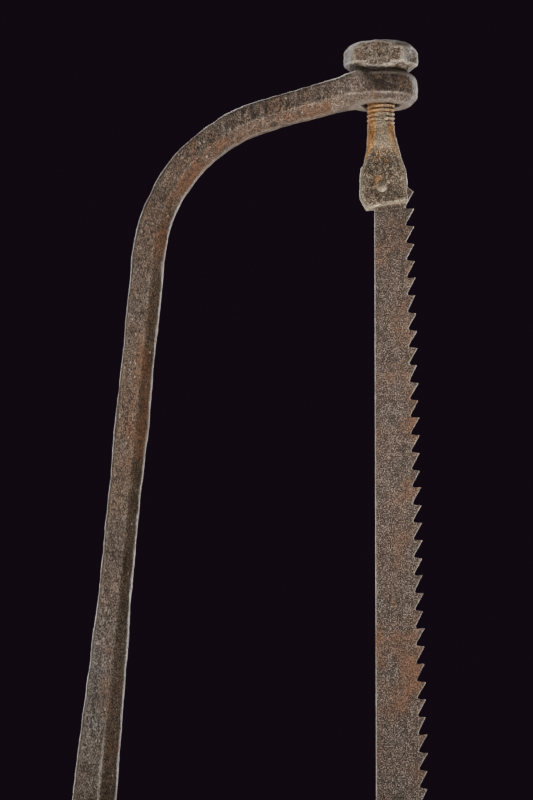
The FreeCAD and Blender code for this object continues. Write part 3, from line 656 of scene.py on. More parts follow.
def box(low, high):
    """A closed bmesh box between two corners in millimetres."""
    made = bmesh.new()
    bmesh.ops.create_cube(made, size=1)
    for vertex in made.verts:
        vertex.co = Vector([low[axis] + (vertex.co[axis] + 0.5) * (high[axis] - low[axis])
                            for axis in range(3)]) * MM
    return made


def cut_away(made, tool):
    """Cut one closed bmesh out of another."""
    item, cutter = as_object(made), as_object(tool)
    modifier = item.modifiers.new("cut", "BOOLEAN")
    modifier.object = cutter
    modifier.operation = "DIFFERENCE"
    modifier.solver = "EXACT"
    result = as_bmesh(item)
    discard(cutter)
    return result


jaw = cut_away(jaw, box((-6.2, -JAW_CUT, JAW_CUT_FLOOR), (20, JAW_CUT, 110)))
bar = cut_away(bar, shell(lathe([(HOLE_RADIUS, EYE_HEIGHT - 20), (HOLE_RADIUS, EYE_HEIGHT + 20)])))
peen = shell(lathe([(4.7, -63.5), (4.7, -63.9), (4.3, -64.4), (3.4, -64.9), (2.2, -65.2), (1.0, -65.3)], 40))
hammered(peen, ((4, 0.12),), 5)
print("jaw: %d faces, peen: %d faces" % (len(jaw.faces), len(peen.faces)))

# %% [markdown]
# Joined like this, the parts only cross each other, with a hard crease where the arm meets the eye. Fire
# welding leaves no crease. A voxel remesh turns the crossing shells into one skin of even small quads, and
# a little smoothing then draws the creases and the edges soft, as the hammer and the years have. The walls of
# the saw cut are held back to their own planes, so that the blade still slides between them.

# %% Weld the bow into one skin
def welded(made, voxel):
    """One even skin over crossing shells."""
    item = as_object(made)
    modifier = item.modifiers.new("weld", "REMESH")
    modifier.mode = "VOXEL"
    modifier.voxel_size = voxel * MM
    result = as_bmesh(item)
    bmesh.ops.smooth_vert(result, verts=result.verts, factor=0.5, use_axis_x=True, use_axis_y=True,
                          use_axis_z=True)
    return result


CUT_WALL = JAW_CUT + 0.02
bow_shell = welded(joined([bar, eye, jaw]), 0.58)
hammered(bow_shell, ((22, 0.40), (7, 0.22), (2.6, 0.16)), 3)
for vertex in bow_shell.verts:
    place = vertex.co / MM
    in_cut = abs(place.y) < 1.4 and place.x > -7 and JAW_CUT_FLOOR - 1 < place.z < JAW_TOP + 1
    if in_cut and abs(vertex.normal.y) > 0.5:
        vertex.co.y = math.copysign(max(abs(place.y), CUT_WALL) * MM, place.y)
print("welded bow:", len(bow_shell.faces), "faces")


# %% [markdown]
# The finish needs to know where the bow's inner bevel is, to darken it as painted shade. The remesh forgot
# the sections, but the stations still know them, so a search tree finds the nearest station to each vertex,
# and its section tells on which side of the bevel's line the vertex lies. The rubbed places, partly wear and
# partly painted highlight, are laid in the same way: round the eye, along the line where the front and the
# bevel meet, and less on the other edges.

# %% The bow's wear and bevel
station_tree = KDTree(len(stations))
for index, station in enumerate(stations):
    station_tree.insert((station[2].x, 0, station[2].y), index)
station_tree.balance()


def inside_line(place):
    """How far a point lies on the inner side of the line where flat and bevel meet, and the outward way."""
    kind, share, centre, outward = stations[station_tree.find((place.x, 0, place.z))[1]]
    width, bevel, _ = bar_shape(kind, share, centre)
    out = (place.x - centre.x) * outward.x + (place.z - centre.y) * outward.y
    return 1.3 + bevel - width / 2 - out, outward


def bow_wear_and_highlights(wear, place, normal):
    """Bright on the eye where the nut and the bolt rubbed it, and less bright where front and bevel meet:
    partly wear and partly painted highlight.
    """
    rise, out = place.z - EYE_HEIGHT, math.hypot(place.x, place.y)
    if out > 13:
        # partly wear and partly painted highlight along the line where front and bevel meet
        line = ease(1 - abs(inside_line(place)[0]) / 0.6) * ease((-205 - rise) / 8) * ease((rise + 236) / 8)
        front = wear * (0.15 + 0.30 * ease((-50 - rise) / 20))
        return max(front, line * 0.9) if normal.y < -0.6 else wear * 0.8
    # partly wear and partly painted highlight: bright bands on the eye's underside, lower edge and shoulder
    under = ease((-4.3 - rise) / 0.8) * ease((11 - out) / 1.5) * 0.4
    shoulder = ease(1 - abs(rise - 3.8) / 0.7) * ease((-place.y - 4) / 3) * ease((place.x + 5) / 3)
    lower_edge = ease(1 - abs(rise + 2.6) / 0.40) * ease((out - 11) / 0.6) * ease((-place.y - 4) / 3) * 0.7
    return max(wear * 0.3, under, shoulder, lower_edge)


def inner_shade_outer_rust(place, normal):
    """1 on the long inner bevel, for painted shade; -1 on the outer edge and on the arm's lower edge, for
    rust; and 0 on the flats.
    """
    if place.x > -16 or place.z < 100:
        return 0
    inside, outward = inside_line(place)
    lean = -(normal.x * outward.x + normal.z * outward.y)
    inner = ease(inside / 0.5) * ease((0.93 - lean) / 0.1)
    outer = ease((-0.35 - lean) / 0.2) * ease((lean + 0.93) / 0.1)
    long_run = ease((EYE_HEIGHT - 52 - place.z) / 14)
    return inner * long_run - 0.8 * inner * (1 - long_run) - outer


bow = finish_mesh("forged_bow", joined([bow_shell, peen]), bow_iron, 0.9, 50, 0, bow_wear_and_highlights, inner_shade_outer_rust)
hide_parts("bow_frame")
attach(bow, "bow")

# %% [markdown]
# ## The tension nut
# The nut began as a hand-forged hexagon, so its sides aren't equal: the one in front is half as long again
# as the others. Two centuries of wear have domed its crown, narrowed its foot and rounded its corners. It is
# turned like the eye, but the radius at each angle follows the six sides, held below the limit that the
# crown and the foot set at each height.

# %% The tension nut
NUT_SEAT, NUT_CROWN, NUT_CORNER = EYE_HEIGHT + 5.35, EYE_HEIGHT + 14.95, 12.5
NUT_CORNERS = [math.radians(angle) for angle in (-140, -55, -2, 55, 115, 172)]
BOLT_RADIUS = 4.45


def soft_least(first, second, softness):
    """The smaller of two values, with the crossing rounded off."""
    share = max(0.0, 1 - abs(first - second) / softness)
    return min(first, second) - share * share * softness / 4


def nut_radius(radius, height, angle):
    """The nut's radius: an uneven hexagon held below the profile's own radius."""
    if radius < 7:
        return radius
    flat = NUT_CORNER * 0.985
    for first, second in zip(NUT_CORNERS, NUT_CORNERS[1:] + [NUT_CORNERS[0] + 2 * math.pi]):
        middle, half = (first + second) / 2, (second - first) / 2
        facing = math.cos(angle - middle)
        if facing > 0.3:
            flat = soft_least(flat, NUT_CORNER * math.cos(half) / facing, 0.6)
    return soft_least(flat, radius, 0.8)


nut_profile = eased_profile([(BOLT_RADIUS + 0.15, NUT_SEAT), (8.2, NUT_SEAT), (9.6, NUT_SEAT + 1.1),
                             (12.1, NUT_SEAT + 3.0), (12.7, NUT_SEAT + 4.8), (12.6, NUT_CROWN - 2.9),
                             (10.4, NUT_CROWN - 0.8), (8.6, NUT_CROWN + 0.3), (6.2, NUT_CROWN + 0.7),
                             (BOLT_RADIUS + 0.5, NUT_CROWN + 0.7), (BOLT_RADIUS + 0.15, NUT_CROWN)],
                            0.4, 0.35)
nut_shell = shell(lathe(nut_profile, 144, nut_radius), looped=True)
hammered(nut_shell, ((6, 0.5), (2.6, 0.25), (1.1, 0.07)), 19)


def nut_wear_and_highlights(wear, place, normal):
    """Bright lines where the sides meet the foot and the crown, broken and wavy as on any old nut: partly
    wear and partly painted highlight.
    """
    side = math.hypot(place.x, place.y) > 10
    wave = 0.7 * noise.noise(Vector((place.x, place.y, 3)) / 2.4)
    foot = ease(1 - abs(place.z - NUT_SEAT - 2.7 - wave) / 0.44) * 0.85
    crown = ease(1 - abs(place.z - NUT_CROWN + 2.3 - wave) / 0.44) * 0.5
    return max(wear * 0.5, foot, crown) if side else wear


nut = finish_mesh("worn_nut", nut_shell, nut_iron, 0.38, 50, 0, nut_wear_and_highlights)
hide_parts("tension_nut")
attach(nut, "nut")


# %% [markdown]
# ## Geometry Nodes from Python
# What repeats or follows a rule, the thread and the teeth, is made by Geometry Nodes. Each tree is built
# here with named inputs, so the same tree could make another pitch or count. Once it has run, the result is
# kept as a plain mesh without the modifier, because the exported piece has to stand alone.

# %% Geometry Nodes helpers
def new_tree(name, inputs):
    """A geometry tree with one geometry input and output, and inputs given as name: (kind, value)."""
    tree = bpy.data.node_groups.new(name, "GeometryNodeTree")
    tree.interface.new_socket("Geometry", in_out="INPUT", socket_type="NodeSocketGeometry")
    tree.interface.new_socket("Geometry", in_out="OUTPUT", socket_type="NodeSocketGeometry")
    for label, (kind, value) in inputs.items():
        socket = tree.interface.new_socket(label, in_out="INPUT", socket_type="NodeSocket" + kind)
        if kind != "Material":
            socket.default_value = value
    start = tree.nodes.new("NodeGroupInput")
    end = tree.nodes.new("NodeGroupOutput")
    return tree, start.outputs, end.inputs[0]


def close_tree(tree, geometry, material, output):
    """End a tree in Realize Instances and Set Material."""
    solid = node(tree, "GeometryNodeRealizeInstances", {0: geometry})
    painted = node(tree, "GeometryNodeSetMaterial", {"Geometry": solid.outputs[0], "Material": material})
    tree.links.new(painted.outputs[0], output)


def grown(made, tree, values):
    """Run a tree on a bmesh and hand back the resulting bmesh."""
    item = as_object(made)
    modifier = item.modifiers.new("nodes", "NODES")
    modifier.node_group = tree
    for socket in tree.interface.items_tree:
        if socket.in_out == "INPUT" and socket.name in values:
            modifier[socket.identifier] = values[socket.name]
    item.update_tag()
    return as_bmesh(item)


def vector(x, y, z=0.0):
    """Three numbers joined into a vector, the first of them a socket."""
    return node(x.id_data, "ShaderNodeCombineXYZ", {0: x, 1: y, 2: z}).outputs[0]


def along_vector(operation, first, scale=None):
    """One step of arithmetic on a vector; only SCALE takes a scale."""
    inputs = {0: first} if scale is None else {0: first, "Scale": scale}
    return node(first.id_data, "ShaderNodeVectorMath", inputs, operation=operation).outputs


def mix(share, first, second):
    """A value between two others."""
    return node(share.id_data, "ShaderNodeMix", {0: share, 2: first, 3: second}).outputs[0]


# %% [markdown]
# ## The draw bolt
# The bolt is one forging too: a round shank, flattened below the eye into a fork that holds the blade's tip.
# Its rings go from a circle to a wide rectangle. The front and rear flats start high on the shank, so they
# cut a narrow tongue into the thread, just as a file would.

# %% The draw bolt's body
RIVET_HEIGHT = EYE_HEIGHT - 32.0
FORK_LEVELS = [(-7.0, 4.7, 7.9, 3.15), (-6.7, 4.95, 8.2, 3.5), (-6.0, 5.35, 8.35, 3.8),
               (-4.5, 6.2, 8.5, 3.88), (-4.2, 6.4, 8.5, 3.9), (-3.2, 6.85, 8.5, 3.9),
               (1.5, 6.9, 8.4, 3.9), (4.4, 6.8, 8.1, 3.9), (6.2, 6.5, 7.7, 3.9),
               (7.2, 5.7, 7.4, 3.85), (9.5, 5.2, 6.6, 3.75), (12.0, 4.75, 5.85, 3.9),
               (14.5, 4.55, 5.3, 4.3), (16.5, 4.5, 4.8, 4.15), (19.5, BOLT_RADIUS, BOLT_RADIUS, 3.8)]


def fork_level(height):
    """Left reach, right reach and half thickness of the bolt at a height above the rivet."""
    if height >= FORK_LEVELS[-1][0]:
        return BOLT_RADIUS, BOLT_RADIUS, min(BOLT_RADIUS, 3.8 + max(0.0, height - 23.6) * 0.45)
    for lower, upper in zip(FORK_LEVELS, FORK_LEVELS[1:]):
        if height <= upper[0]:
            share = (height - lower[0]) / (upper[0] - lower[0])
            return [low + (high - low) * share for low, high in zip(lower[1:], upper[1:])]


def bolt_ring(height, count=88):
    """A ring of the bolt: round at the shank, and a rounded rectangle at the fork."""
    left, right, half = fork_level(height)
    square = 1 - ease((height - 9) / 10)
    power = 2 + 7 * square
    ring = []
    for index in range(count):
        angle = 2 * math.pi * index / count
        across, along = math.cos(angle), math.sin(angle)
        stretch = (abs(across) ** power + abs(along) ** power) ** (-1 / power)
        reach_x = right if across > 0 else left
        reach_y = half + (BOLT_RADIUS - half) * (1 - square)
        deep = max(-half, min(half, along * stretch * reach_y))
        wide = across * stretch * reach_x
        lift = 2.0 * max(0.0, (wide + 4.5) / 12.6) * ease((-3 - height) / 4)
        ring.append((wide, deep, RIVET_HEIGHT + height + lift))
    return ring


SHANK_END = NUT_CROWN - 0.5
bolt_heights = [-7.0 + 0.4 * step for step in range(65)]
bolt_heights += [19.0 + 0.2 * step for step in range(int((SHANK_END - RIVET_HEIGHT - 19.4) / 0.2) + 1)]
bolt_rings = [bolt_ring(height) for height in sorted(set(round(height, 2) for height in bolt_heights))]
for drop, scale in ((-0.25, 0.97), (-0.05, 0.9), (0, 0.8)):
    bolt_rings.append([(x * scale, y * scale, SHANK_END + drop) for x, y, z in bolt_ring(46)])
bolt_body = shell(bolt_rings)
print("bolt rings:", len(bolt_rings))

# %% [markdown]
# The thread is a rule: at each point, how far the turning angle and the height have moved on along the
# helix gives a phase between 0 and 1, and the surface sinks by the depth where the phase is in the groove.
# Old hand-cut threads have rounded, uneven crests, so noise wears them down. The tree fades the thread out
# below the eye, where the smith's die stopped.

# %% The thread as a Geometry Nodes tree
THREAD_PITCH, THREAD_DEPTH, THREAD_FOOT = 1.4, 0.62, 438.0
thread_tree, given, thread_end = new_tree("cut_thread", {
    "Pitch": ("Float", THREAD_PITCH * MM), "Depth": ("Float", THREAD_DEPTH * MM),
    "Run out": ("Float", THREAD_FOOT * MM), "Radius": ("Float", 4.5 * MM), "Fade": ("Float", 1.6 * MM),
    "Wear": ("Float", 0.35), "Seed": ("Float", 4.0), "Material": ("Material", None)})
spot = node(thread_tree, "GeometryNodeInputPosition").outputs[0]
axes = parts_of(spot)
turn = div(maths("ARCTAN2", axes["Y"], axes["X"]), 2 * math.pi)
phase = maths("FRACT", add(sub(div(axes["Z"], given["Pitch"]), turn), 50))
groove = span(maths("ABSOLUTE", sub(phase, 0.5)), 0.08, 0.40, 1, 0)
rough = node(thread_tree, "ShaderNodeTexNoise", {"Vector": spot, "W": given["Seed"], "Scale": 700.0},
             noise_dimensions="4D").outputs["Fac"]
worn = add(mul(span(rough, 0.4, 0.7, 1, 0.3), given["Wear"]), sub(1, given["Wear"]))
above = div(sub(axes["Z"], given["Run out"]), given["Fade"])
limit = sub(given["Radius"], mul(mul(groove, worn, span(above, 0, 1)), given["Depth"]))
level = vector(axes["X"], axes["Y"])
sunk = mul(least(sub(limit, along_vector("LENGTH", level)["Value"]), 0), maths("GREATER_THAN", above, 0))
push = along_vector("SCALE", along_vector("NORMALIZE", level)[0], sunk)[0]
cut = node(thread_tree, "GeometryNodeSetPosition", {"Geometry": given["Geometry"], "Offset": push}).outputs[0]
close_tree(thread_tree, cut, given["Material"], thread_end)
print("thread tree:", len(thread_tree.nodes), "nodes")

# %% [markdown]
# The bolt is the rustiest piece. Damp stays in the thread and runs down both flanks of the shank, while the
# filed flat in between stays dark. The slot of the fork is cut last, so that its walls stay clean and plane.

# %% The draw bolt
FORK_SLOT, FORK_SLOT_TOP = 0.85, RIVET_HEIGHT + 8


def thread_rust(place):
    """Rust in the thread, where damp stays, down both flanks of the shank and round the rivet."""
    axes = parts_of(place)
    up = span(axes["Z"], 0.4408, 0.4428, -0.06, 0.26)
    arch = span(axes["Z"], (RIVET_HEIGHT + 5) * MM, (RIVET_HEIGHT + 14) * MM, 7.0 * MM, 1.6 * MM)
    flank = span(sub(maths("ABSOLUTE", sub(axes["X"], 0.0002)), arch), 0, 0.0009, -0.06, 0.20)
    right = mul(span(axes["X"], 0.001, 0.002), span(axes["Z"], 0.438, 0.432))
    halo = near(place, (-0.8, -4, RIVET_HEIGHT + 1.2), 1.2, 1.8)
    return add(most(up, sub(flank, mul(right, 0.14))), mul(halo, 0.22))


def bolt_skin(place):
    """A dark skin on the fork's front, left of the rivet and below it."""
    left = mul(near(place, (-4, -4, RIVET_HEIGHT + 1.5), 1.2, 3), 0.75)
    below = mul(near(place, (2, -4, RIVET_HEIGHT - 3.6), 2.6, 2.6), 0.5)
    return mul(most(left, below), span(grain(place, 2.2, 3), 0.36, 0.54))


bolt_iron = iron_finish("bolt_iron", ((0.008, 0.0055, 0.004), (0.092, 0.068, 0.050), (0.74, 0.58, 0.43)),
                        rust=(0.70, 0.33, 0.085), worn=(0.66, 0.56, 0.42), speckle=0.37, rust_share=0.3,
                        rust_at=thread_rust, skin_and_shade_at=bolt_skin, roughness=0.55, drift=0.6, patch=3.4,
                        soft=0.055)
hammered(bolt_body, ((7, 0.26), (2.6, 0.20), (1.1, 0.10)), 23)
threaded = grown(bolt_body, thread_tree, {"Material": bolt_iron})
forked = cut_away(threaded, box((-12, -FORK_SLOT, 400), (12, FORK_SLOT, FORK_SLOT_TOP)))


def fork_wear(wear, place, normal):
    """The fork's two edges and the shank's filed flats, rubbed bright."""
    rise = place.z - RIVET_HEIGHT
    edge = ease((abs(normal.x) - 0.45) / 0.4) * ease((rise - 1) / 3) * ease((19 - rise) / 5)
    flat = ease((abs(normal.y) - 0.6) / 0.3) * ease((rise - 10) / 4) * ease((24.5 - rise) / 3) * 0.45
    return max(wear, edge * (0.75 if place.x > 0 else 0.45), flat)


bolt = finish_mesh("threaded_fork", forked, bolt_iron, 1.1, 50, 0, fork_wear)
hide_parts("draw_bolt")
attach(bolt, "bolt")


# %% [markdown]
# ## Rivet and heel pin
# Both cross pins are soft iron, hammered over at each end. A low domed head on the rivet holds the fork and
# the blade together, and the heel pin's ends are spread a little over the jaw's cheeks, to keep it in.

# %% Cross pins
def pin_wear_and_top_highlight(wear, place, normal):
    """Brightest on the upper side of each head: a painted highlight over the edge wear."""
    return max(0.7 * wear, 0.7 * ease((normal.z - 0.1) / 0.4))


def cross_pin(name, side, x, height, material, seed):
    """A pin across the saw: (radius, reach) pairs from its front end to its middle, mirrored behind."""
    profile = side + [(radius, -reach) for radius, reach in reversed(side)]
    made = shell(lathe(profile, 44))
    made.transform(Matrix.Translation((x * MM, 0, height * MM)) @ Matrix.Rotation(math.radians(90), 4, "X"))
    hammered(made, ((2.5, 0.12), (1.1, 0.05)), seed)
    return finish_mesh(name, made, material, handled=pin_wear_and_top_highlight)


rivet = cross_pin("fork_rivet", [(0.25, 4.58), (0.8, 4.52), (1.3, 4.36), (1.75, 4.1), (1.92, 3.8), (1.7, 3.6),
                                 (1.45, 3.4), (1.45, 1.5), (1.45, 0.1)], 0.3, RIVET_HEIGHT, bolt_iron, 31)
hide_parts("tip_rivet")
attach(rivet, "bolt")

HEEL_PIN_HEIGHT = 83.3
pin = cross_pin("flush_pin", [(0.3, 7.14), (1.2, 7.08), (1.9, 6.85), (2.15, 6.45), (1.97, 6.2), (1.97, 3),
                              (1.97, 0.2)], 4, HEEL_PIN_HEIGHT, fitting_iron, 37)
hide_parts("heel_pin")
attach(pin, "bow")


# %% [markdown]
# ## The blade
# The blade is a long thin taper whose teeth point to the tip. Every tooth was filed by hand, so no two are
# quite alike. One tree makes it: a grid is wrapped into a flat tube, across the blade and back behind it,
# and each row of the grid is a step along the teeth. A float curve holds the outline of one tooth, and noise
# keyed to the tooth's number alters its depth and place.

# %% The blade as a Geometry Nodes tree
TEETH, TOOTH_PITCH, TOOTH_DEPTH, LAST_TOOTH, ROWS, COLUMNS = 55, 5.65, 2.8, 107.2, 12, 28
BLADE_BACK, BLADE_THICKNESS, TAPER = -2.2, 1.4, math.tan(math.radians(1.2))
TOE, TOE_REACH, HEAD_TOP, HEAD_RADIUS, HEAD_MIDDLE = 76.2, 8.77, EYE_HEIGHT - 26.5, 5.5, 0.3
FIRST_TIP = (10.53, 0, EYE_HEIGHT - 33.35)
TEETH_ABOVE, TEETH_BELOW = 2, 8


def curve(value, points):
    """A float curve through the given points, straight between them."""
    made = node(value.id_data, "ShaderNodeFloatCurve", {"Value": value})
    line = made.mapping.curves[0]
    while len(line.points) < len(points):
        line.points.new(0.5, 0.5)
    for point, (across, up) in zip(line.points, points):
        point.location = (across, up)
        point.handle_type = "VECTOR"
    made.mapping.update()
    return made.outputs[0]


tooth_tree, given, tooth_end = new_tree("filed_teeth", {
    "Teeth": ("Int", TEETH), "Pitch": ("Float", TOOTH_PITCH), "Depth": ("Float", TOOTH_DEPTH),
    "Back": ("Float", BLADE_BACK), "First tip": ("Vector", (0, 0, 0)), "Taper": ("Float", TAPER),
    "Thickness": ("Float", BLADE_THICKNESS), "Unevenness": ("Float", 0.35), "Seed": ("Float", 2.0),
    "Material": ("Material", None)})
rows = mul(add(given["Teeth"], TEETH_ABOVE + TEETH_BELOW), ROWS)
sheet = node(tooth_tree, "GeometryNodeMeshGrid",
             {"Size X": 1, "Size Y": 1, "Vertices X": COLUMNS + 1, "Vertices Y": add(rows, 1)})
flat = parts_of(node(tooth_tree, "GeometryNodeInputPosition").outputs[0])
around = add(flat["X"], 0.5)
travel = add(div(mul(rows, sub(0.5, flat["Y"])), ROWS), 0.001 - TEETH_ABOVE)
number = maths("FLOOR", travel)
stage = sub(travel, number)
down = curve(stage, [(0, 0), (1 / 12, 0.02), (8 / 12, 0.80), (9 / 12, 0.89), (10 / 12, 0.955),
                     (11 / 12, 0.995), (1, 1)])
sunk = curve(stage, [(0, 0.03), (1 / 12, 0), (8 / 12, 0.95), (9 / 12, 1), (10 / 12, 0.95), (11 / 12, 0.5),
                     (1, 0.03)])
print("one tooth takes %d rows and %d columns" % (ROWS, COLUMNS))

# %% [markdown]
# Next come the chances that made each tooth different, then the columns across the blade. Only the outer
# columns follow the teeth. The inner ones stay evenly spaced, so the flat of the blade gets even quads.

# %% The tooth's place, depth and chances
chance = node(tooth_tree, "ShaderNodeTexWhiteNoise", {"Vector": vector(number, given["Seed"])})
draws = parts_of(chance.outputs["Color"])
fold = sub(1, maths("ABSOLUTE", sub(mul(around, 2), 1)))
across = curve(fold, [(0, 0), (1 / 14, 0.004), (2 / 14, 0.012), (3 / 14, 0.030), (4 / 14, 0.14),
                      (10 / 14, 0.90), (11 / 14, 0.965), (12 / 14, 0.988), (13 / 14, 0.997), (1, 1)])
full = curve(fold, [(0, 0), (1 / 14, 0.75), (2 / 14, 1), (12 / 14, 1), (13 / 14, 0.8), (1, 0)])
follow = span(fold, 6.5 / 14, 9.9 / 14)
slip = mul(sub(draws[0], 0.5), span(stage, 0.1, 0.75, 0.2, 0))
along = add(number, mix(follow, stage, add(down, mul(slip, given["Unevenness"]))))
tip = parts_of(given["First tip"])
height = most(least(sub(tip["Z"], mul(along, given["Pitch"])), HEAD_TOP), TOE)
lost = sub(1, mul(given["Unevenness"], draws[1]))
proud = mul(sub(1, sunk), add(mul(lost, 0.5), 0.5), maths("GREATER_THAN", height, LAST_TOOTH),
            given["Depth"], follow)
print("tooth tree so far:", len(tooth_tree.nodes), "nodes")

# %% [markdown]
# Last, the outline as a whole: a straight back, an edge that leans out by the taper, a head rounded about the
# rivet at the tip, and a toe with its corner trimmed. Front and back meet along both edges, and both ends
# are drawn together, so that merging by distance leaves one closed skin.

# %% The blade's outline
root = add(sub(tip["X"], given["Depth"]), mul(sub(tip["Z"], height), given["Taper"]))
in_head = maths("GREATER_THAN", height, add(tip["Z"], 0.02))
head_edge = add(3.6, mul(1.205, sub(RIVET_HEIGHT + 4.4, height)))
toe_edge = add(TOE_REACH, sub(height, TOE))
edge = least(mix(in_head, add(root, proud), head_edge), toe_edge)
root = least(root, edge, toe_edge)
rise = sub(height, RIVET_HEIGHT)
head_back = sub(HEAD_MIDDLE, maths("SQRT", most(sub(HEAD_RADIUS ** 2, mul(rise, rise)), 0)))
back = mix(maths("GREATER_THAN", rise, 0), least(given["Back"], head_back), head_back)
width = add(mul(across, sub(root, back)), mul(sub(edge, root), follow))
side = maths("SIGN", sub(around, 0.5))
within = maths("LESS_THAN", maths("ABSOLUTE", flat["Y"]), 0.49999)
thick = mul(mul(full, within), mul(side, div(given["Thickness"], 2)))
metres = along_vector("SCALE", vector(add(back, width), thick, height), MM)[0]
placed = node(tooth_tree, "GeometryNodeSetPosition", {"Geometry": sheet.outputs["Mesh"], "Position": metres})
closed = node(tooth_tree, "GeometryNodeMergeByDistance",
              {"Geometry": placed.outputs[0], "Distance": 0.004 * MM})
close_tree(tooth_tree, closed.outputs[0], given["Material"], tooth_end)
print("tooth tree:", len(tooth_tree.nodes), "nodes")

# %% [markdown]
# The tree now runs on an empty mesh, since it makes its own grid. The blade has been wiped more than the bow,
# so its rust is only a few old drops and a trace along the teeth. A notch that opens to the back lets the
# heel leave its pin.

# %% The blade
RUST_SPOTS = [((9.5, 0, EYE_HEIGHT - 101), 1.2, 3.4), ((9.0, 0, EYE_HEIGHT - 107), 1.6, 3.6),
              ((10.0, 0, EYE_HEIGHT - 129), 1.4, 4.0), ((6.0, 0, EYE_HEIGHT - 187), 6.0, 14.0),
              ((9.5, 0, EYE_HEIGHT - 60), 1.0, 4.0)]
HEEL_NOTCH = (-9, -3, 81.2), (6.1, 3, 89.8)


def tooth_rust(place):
    """Rust along the teeth, and where drops once stood."""
    spots = [mul(near(place, centre, reach, fade), 0.12) for centre, reach, fade in RUST_SPOTS]
    return add(span(parts_of(place)["X"], 0.004, 0.013, 0, 0.02), *spots)


def blade_under_fork_dark(place):
    """Darker just under the fork."""
    return mul(near(place, (4, 0, EYE_HEIGHT - 42), 2, 14), 0.35)


blade_steel = iron_finish("blade_steel", ((0.010, 0.0075, 0.006), (0.102, 0.077, 0.064), (0.78, 0.63, 0.54)),
                          rust=(0.36, 0.175, 0.095), worn=(0.62, 0.57, 0.52), speckle=0.35, rust_share=0.4,
                          rust_at=tooth_rust, skin_and_shade_at=blade_under_fork_dark, drawn=(1, 1, 0.8), roughness=0.55,
                          pit_size=1.3, drift=0.25, soft=0.07)
blade_shell = grown(bmesh.new(), tooth_tree, {"First tip": FIRST_TIP, "Material": blade_steel})
bmesh.ops.dissolve_degenerate(blade_shell, dist=0.002 * MM, edges=blade_shell.edges)
bmesh.ops.recalc_face_normals(blade_shell, faces=blade_shell.faces)
blade_shell = cut_away(blade_shell, box(*HEEL_NOTCH))
blade = finish_mesh("filed_blade", blade_shell, blade_steel, 1.2, 35, 0)
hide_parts("saw_blade")
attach(blade, "blade")


# %% [markdown]
# ## The grip
# The grip is a dense dark hardwood. Its finish stretches the noise along the grip for the grain, adds short
# dark pores, and is lighter on the rubbed corners, where the hand has lain.

# %% Hardwood finish
def wood_finish(name, dark, middle, light):
    """Dense hardwood with long grain, pores and a hand-worn polish."""
    material, tree, shader, place = new_material(name)
    swirl = grain(place, 60, 2)
    bend = node(tree, "ShaderNodeCombineXYZ", {0: mul(swirl, 0.02), 1: mul(swirl, 0.012)}).outputs[0]
    bent = node(tree, "ShaderNodeVectorMath", {0: place, 1: bend}).outputs[0]
    long = stretched(bent, (1, 1, 0.045))
    figure, streaks = grain(long, 5.5, 5, 0.65), grain(long, 1.3, 3, 0.7)
    cells = node(tree, "ShaderNodeTexVoronoi", {"Vector": stretched(bent, (1, 1, 0.09)), "Scale": 1500.0})
    pores = span(cells.outputs["Distance"], 0.10, 0.26, 1, 0)
    base = blend(span(figure, 0.35, 0.65), dark, middle)
    base = blend(span(streaks, 0.5, 0.75, 0, 0.7), base, light)
    base = blend(mul(pores, 0.75), base, scaled(dark, 0.35))
    base = blend(mul(attribute(tree, "wear"), 0.45), base, light)
    tree.links.new(base, shader.inputs["Base Color"])
    tree.links.new(span(streaks, 0.3, 0.7, 0.30, 0.46), shader.inputs["Roughness"])
    raised(shader, sub(streaks, pores), 0.5, 0.12)
    return material


dark_wood = wood_finish("dark_wood", (0.012, 0.0062, 0.0035), (0.040, 0.018, 0.0085), (0.105, 0.050, 0.022))
print("wood finish:", len(dark_wood.node_tree.nodes), "nodes")

# %% [markdown]
# The wood was shaped with a drawknife into eight flats that swell to a belly and narrow towards the ferrule.
# Its rings are octagons with eased corners. Their widths are given at a few heights, and a smooth curve
# joins these. One small template ring is scaled for every height, so all rings have equally many points.

# %% The grip's rings
GRIP_TOP, GRIP_BUTT = 45, -59
GRIP_LEVELS = [(-59.0, 22.0), (-58.6, 23.2), (-57.6, 24.6), (-55.8, 26.6), (-53.0, 28.0), (-44.0, 29.2),
               (-30.0, 30.0), (-14.0, 29.2), (4.0, 26.6), (22.0, 24.0), (34.0, 24.1), (42.0, 24.7),
               (45.0, 25.0)]
TEMPLATE_WIDTH, CORNER_SHARE = 10, 0.29


def smooth_level(levels, height):
    """A value between the given levels, joined by a smooth curve."""
    index = max(1, min(len(levels) - 2, sum(1 for level, value in levels if level <= height)))
    (h0, v0), (h1, v1) = levels[index - 1], levels[index]
    before, after = levels[max(0, index - 2)], levels[min(len(levels) - 1, index + 1)]
    share = max(0.0, min(1.0, (height - h0) / (h1 - h0)))
    slope_0 = (v1 - before[1]) / (h1 - before[0]) * (h1 - h0)
    slope_1 = (after[1] - v0) / (after[0] - h0) * (h1 - h0)
    s2, s3 = share * share, share ** 3
    return (v0 * (2 * s3 - 3 * s2 + 1) + slope_0 * (s3 - 2 * s2 + share) + v1 * (3 * s2 - 2 * s3)
            + slope_1 * (s3 - s2))


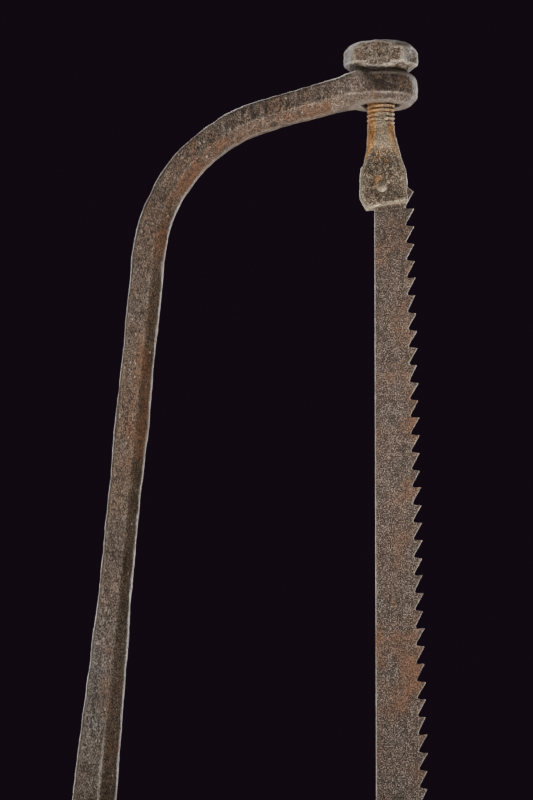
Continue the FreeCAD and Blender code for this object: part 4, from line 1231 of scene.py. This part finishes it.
def octagon_rings(levels, step, radius=1.6):
    """Rings with four wide and four narrow flats, from the first level to the last."""
    half, short = TEMPLATE_WIDTH / 2, TEMPLATE_WIDTH * (0.5 - CORNER_SHARE)
    template = rounded([(-short, -half), (short, -half), (half, -short), (half, short), (short, half),
                        (-short, half), (-half, short), (-half, -short)], radius / 2.6, 4, 0.32)
    low, high = levels[0][0], levels[-1][0]
    count = round((high - low) / step)
    rings = []
    for index in range(count + 1):
        height = low + (high - low) * index / count
        scale = smooth_level(levels, height) / TEMPLATE_WIDTH
        rings.append([(point.x * scale, point.y * scale, height) for point in template])
    return rings


grip_shell = shell(octagon_rings(GRIP_LEVELS, 0.8))
hammered(grip_shell, ((26, 0.30), (9, 0.12), (4, 0.05)), 41)
for vertex in grip_shell.verts:
    vertex.co.z = max(GRIP_BUTT * MM, min(GRIP_TOP * MM, vertex.co.z))
grip = finish_mesh("hardwood_grip", grip_shell, dark_wood, 0.35, 60)
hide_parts("grip")
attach(grip, "bow")

# %% [markdown]
# ## Ferrule, bolster and butt cap
# The ferrule keeps the wood from splitting where the tang enters it, the bolster plate spreads the jaw's
# push, and the domed cap at the butt is what the tang is hammered over. All three are turned or filed iron,
# with the marks of a file and bright, handled rims.

# %% Fittings
ferrule_profile = eased_profile([(11.2, 45), (13.2, 45), (13.3, 46.9), (12.7, 47.8), (12.7, 56.2),
                                 (13.3, 57.1), (13.3, 58.9), (11.2, 58.9)], 0.35, 0.6)
ferrule_shell = shell(lathe(ferrule_profile, 120), looped=True)
hammered(ferrule_shell, ((11, 0.10), (4, 0.05)), 43)
ferrule = finish_mesh("iron_ferrule", ferrule_shell, fitting_iron)
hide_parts("ferrule")

PLATE_LEVELS = [(59.0, 26.6), (59.3, 27.0), (61.2, 27.0), (61.7, 26.4), (62.0, 25.6)]
plate_shell = shell(octagon_rings(PLATE_LEVELS, 0.3, radius=1.2))
hammered(plate_shell, ((7, 0.10), (2.5, 0.04)), 47)
plate = finish_mesh("iron_bolster", plate_shell, fitting_iron)
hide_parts("bolster_plate")

cap_shell = shell(lathe([(4, -59), (9.2, -59), (9.8, -59.1), (10, -59.5), (10, -60.4), (9.8, -60.9),
                         (9.2, -61.5), (8.3, -62.1), (7.1, -62.7), (5.6, -63.2), (4.8, -63.4), (3, -63.45)]))
hammered(cap_shell, ((6, 0.10), (2.2, 0.05)), 53)
cap = finish_mesh("iron_butt_cap", cap_shell, fitting_iron)
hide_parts("butt_cap")
for piece, slot in ((ferrule, "nut_iron"), (plate, "forged_iron"), (cap, "nut_iron")):
    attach(piece, "bow")
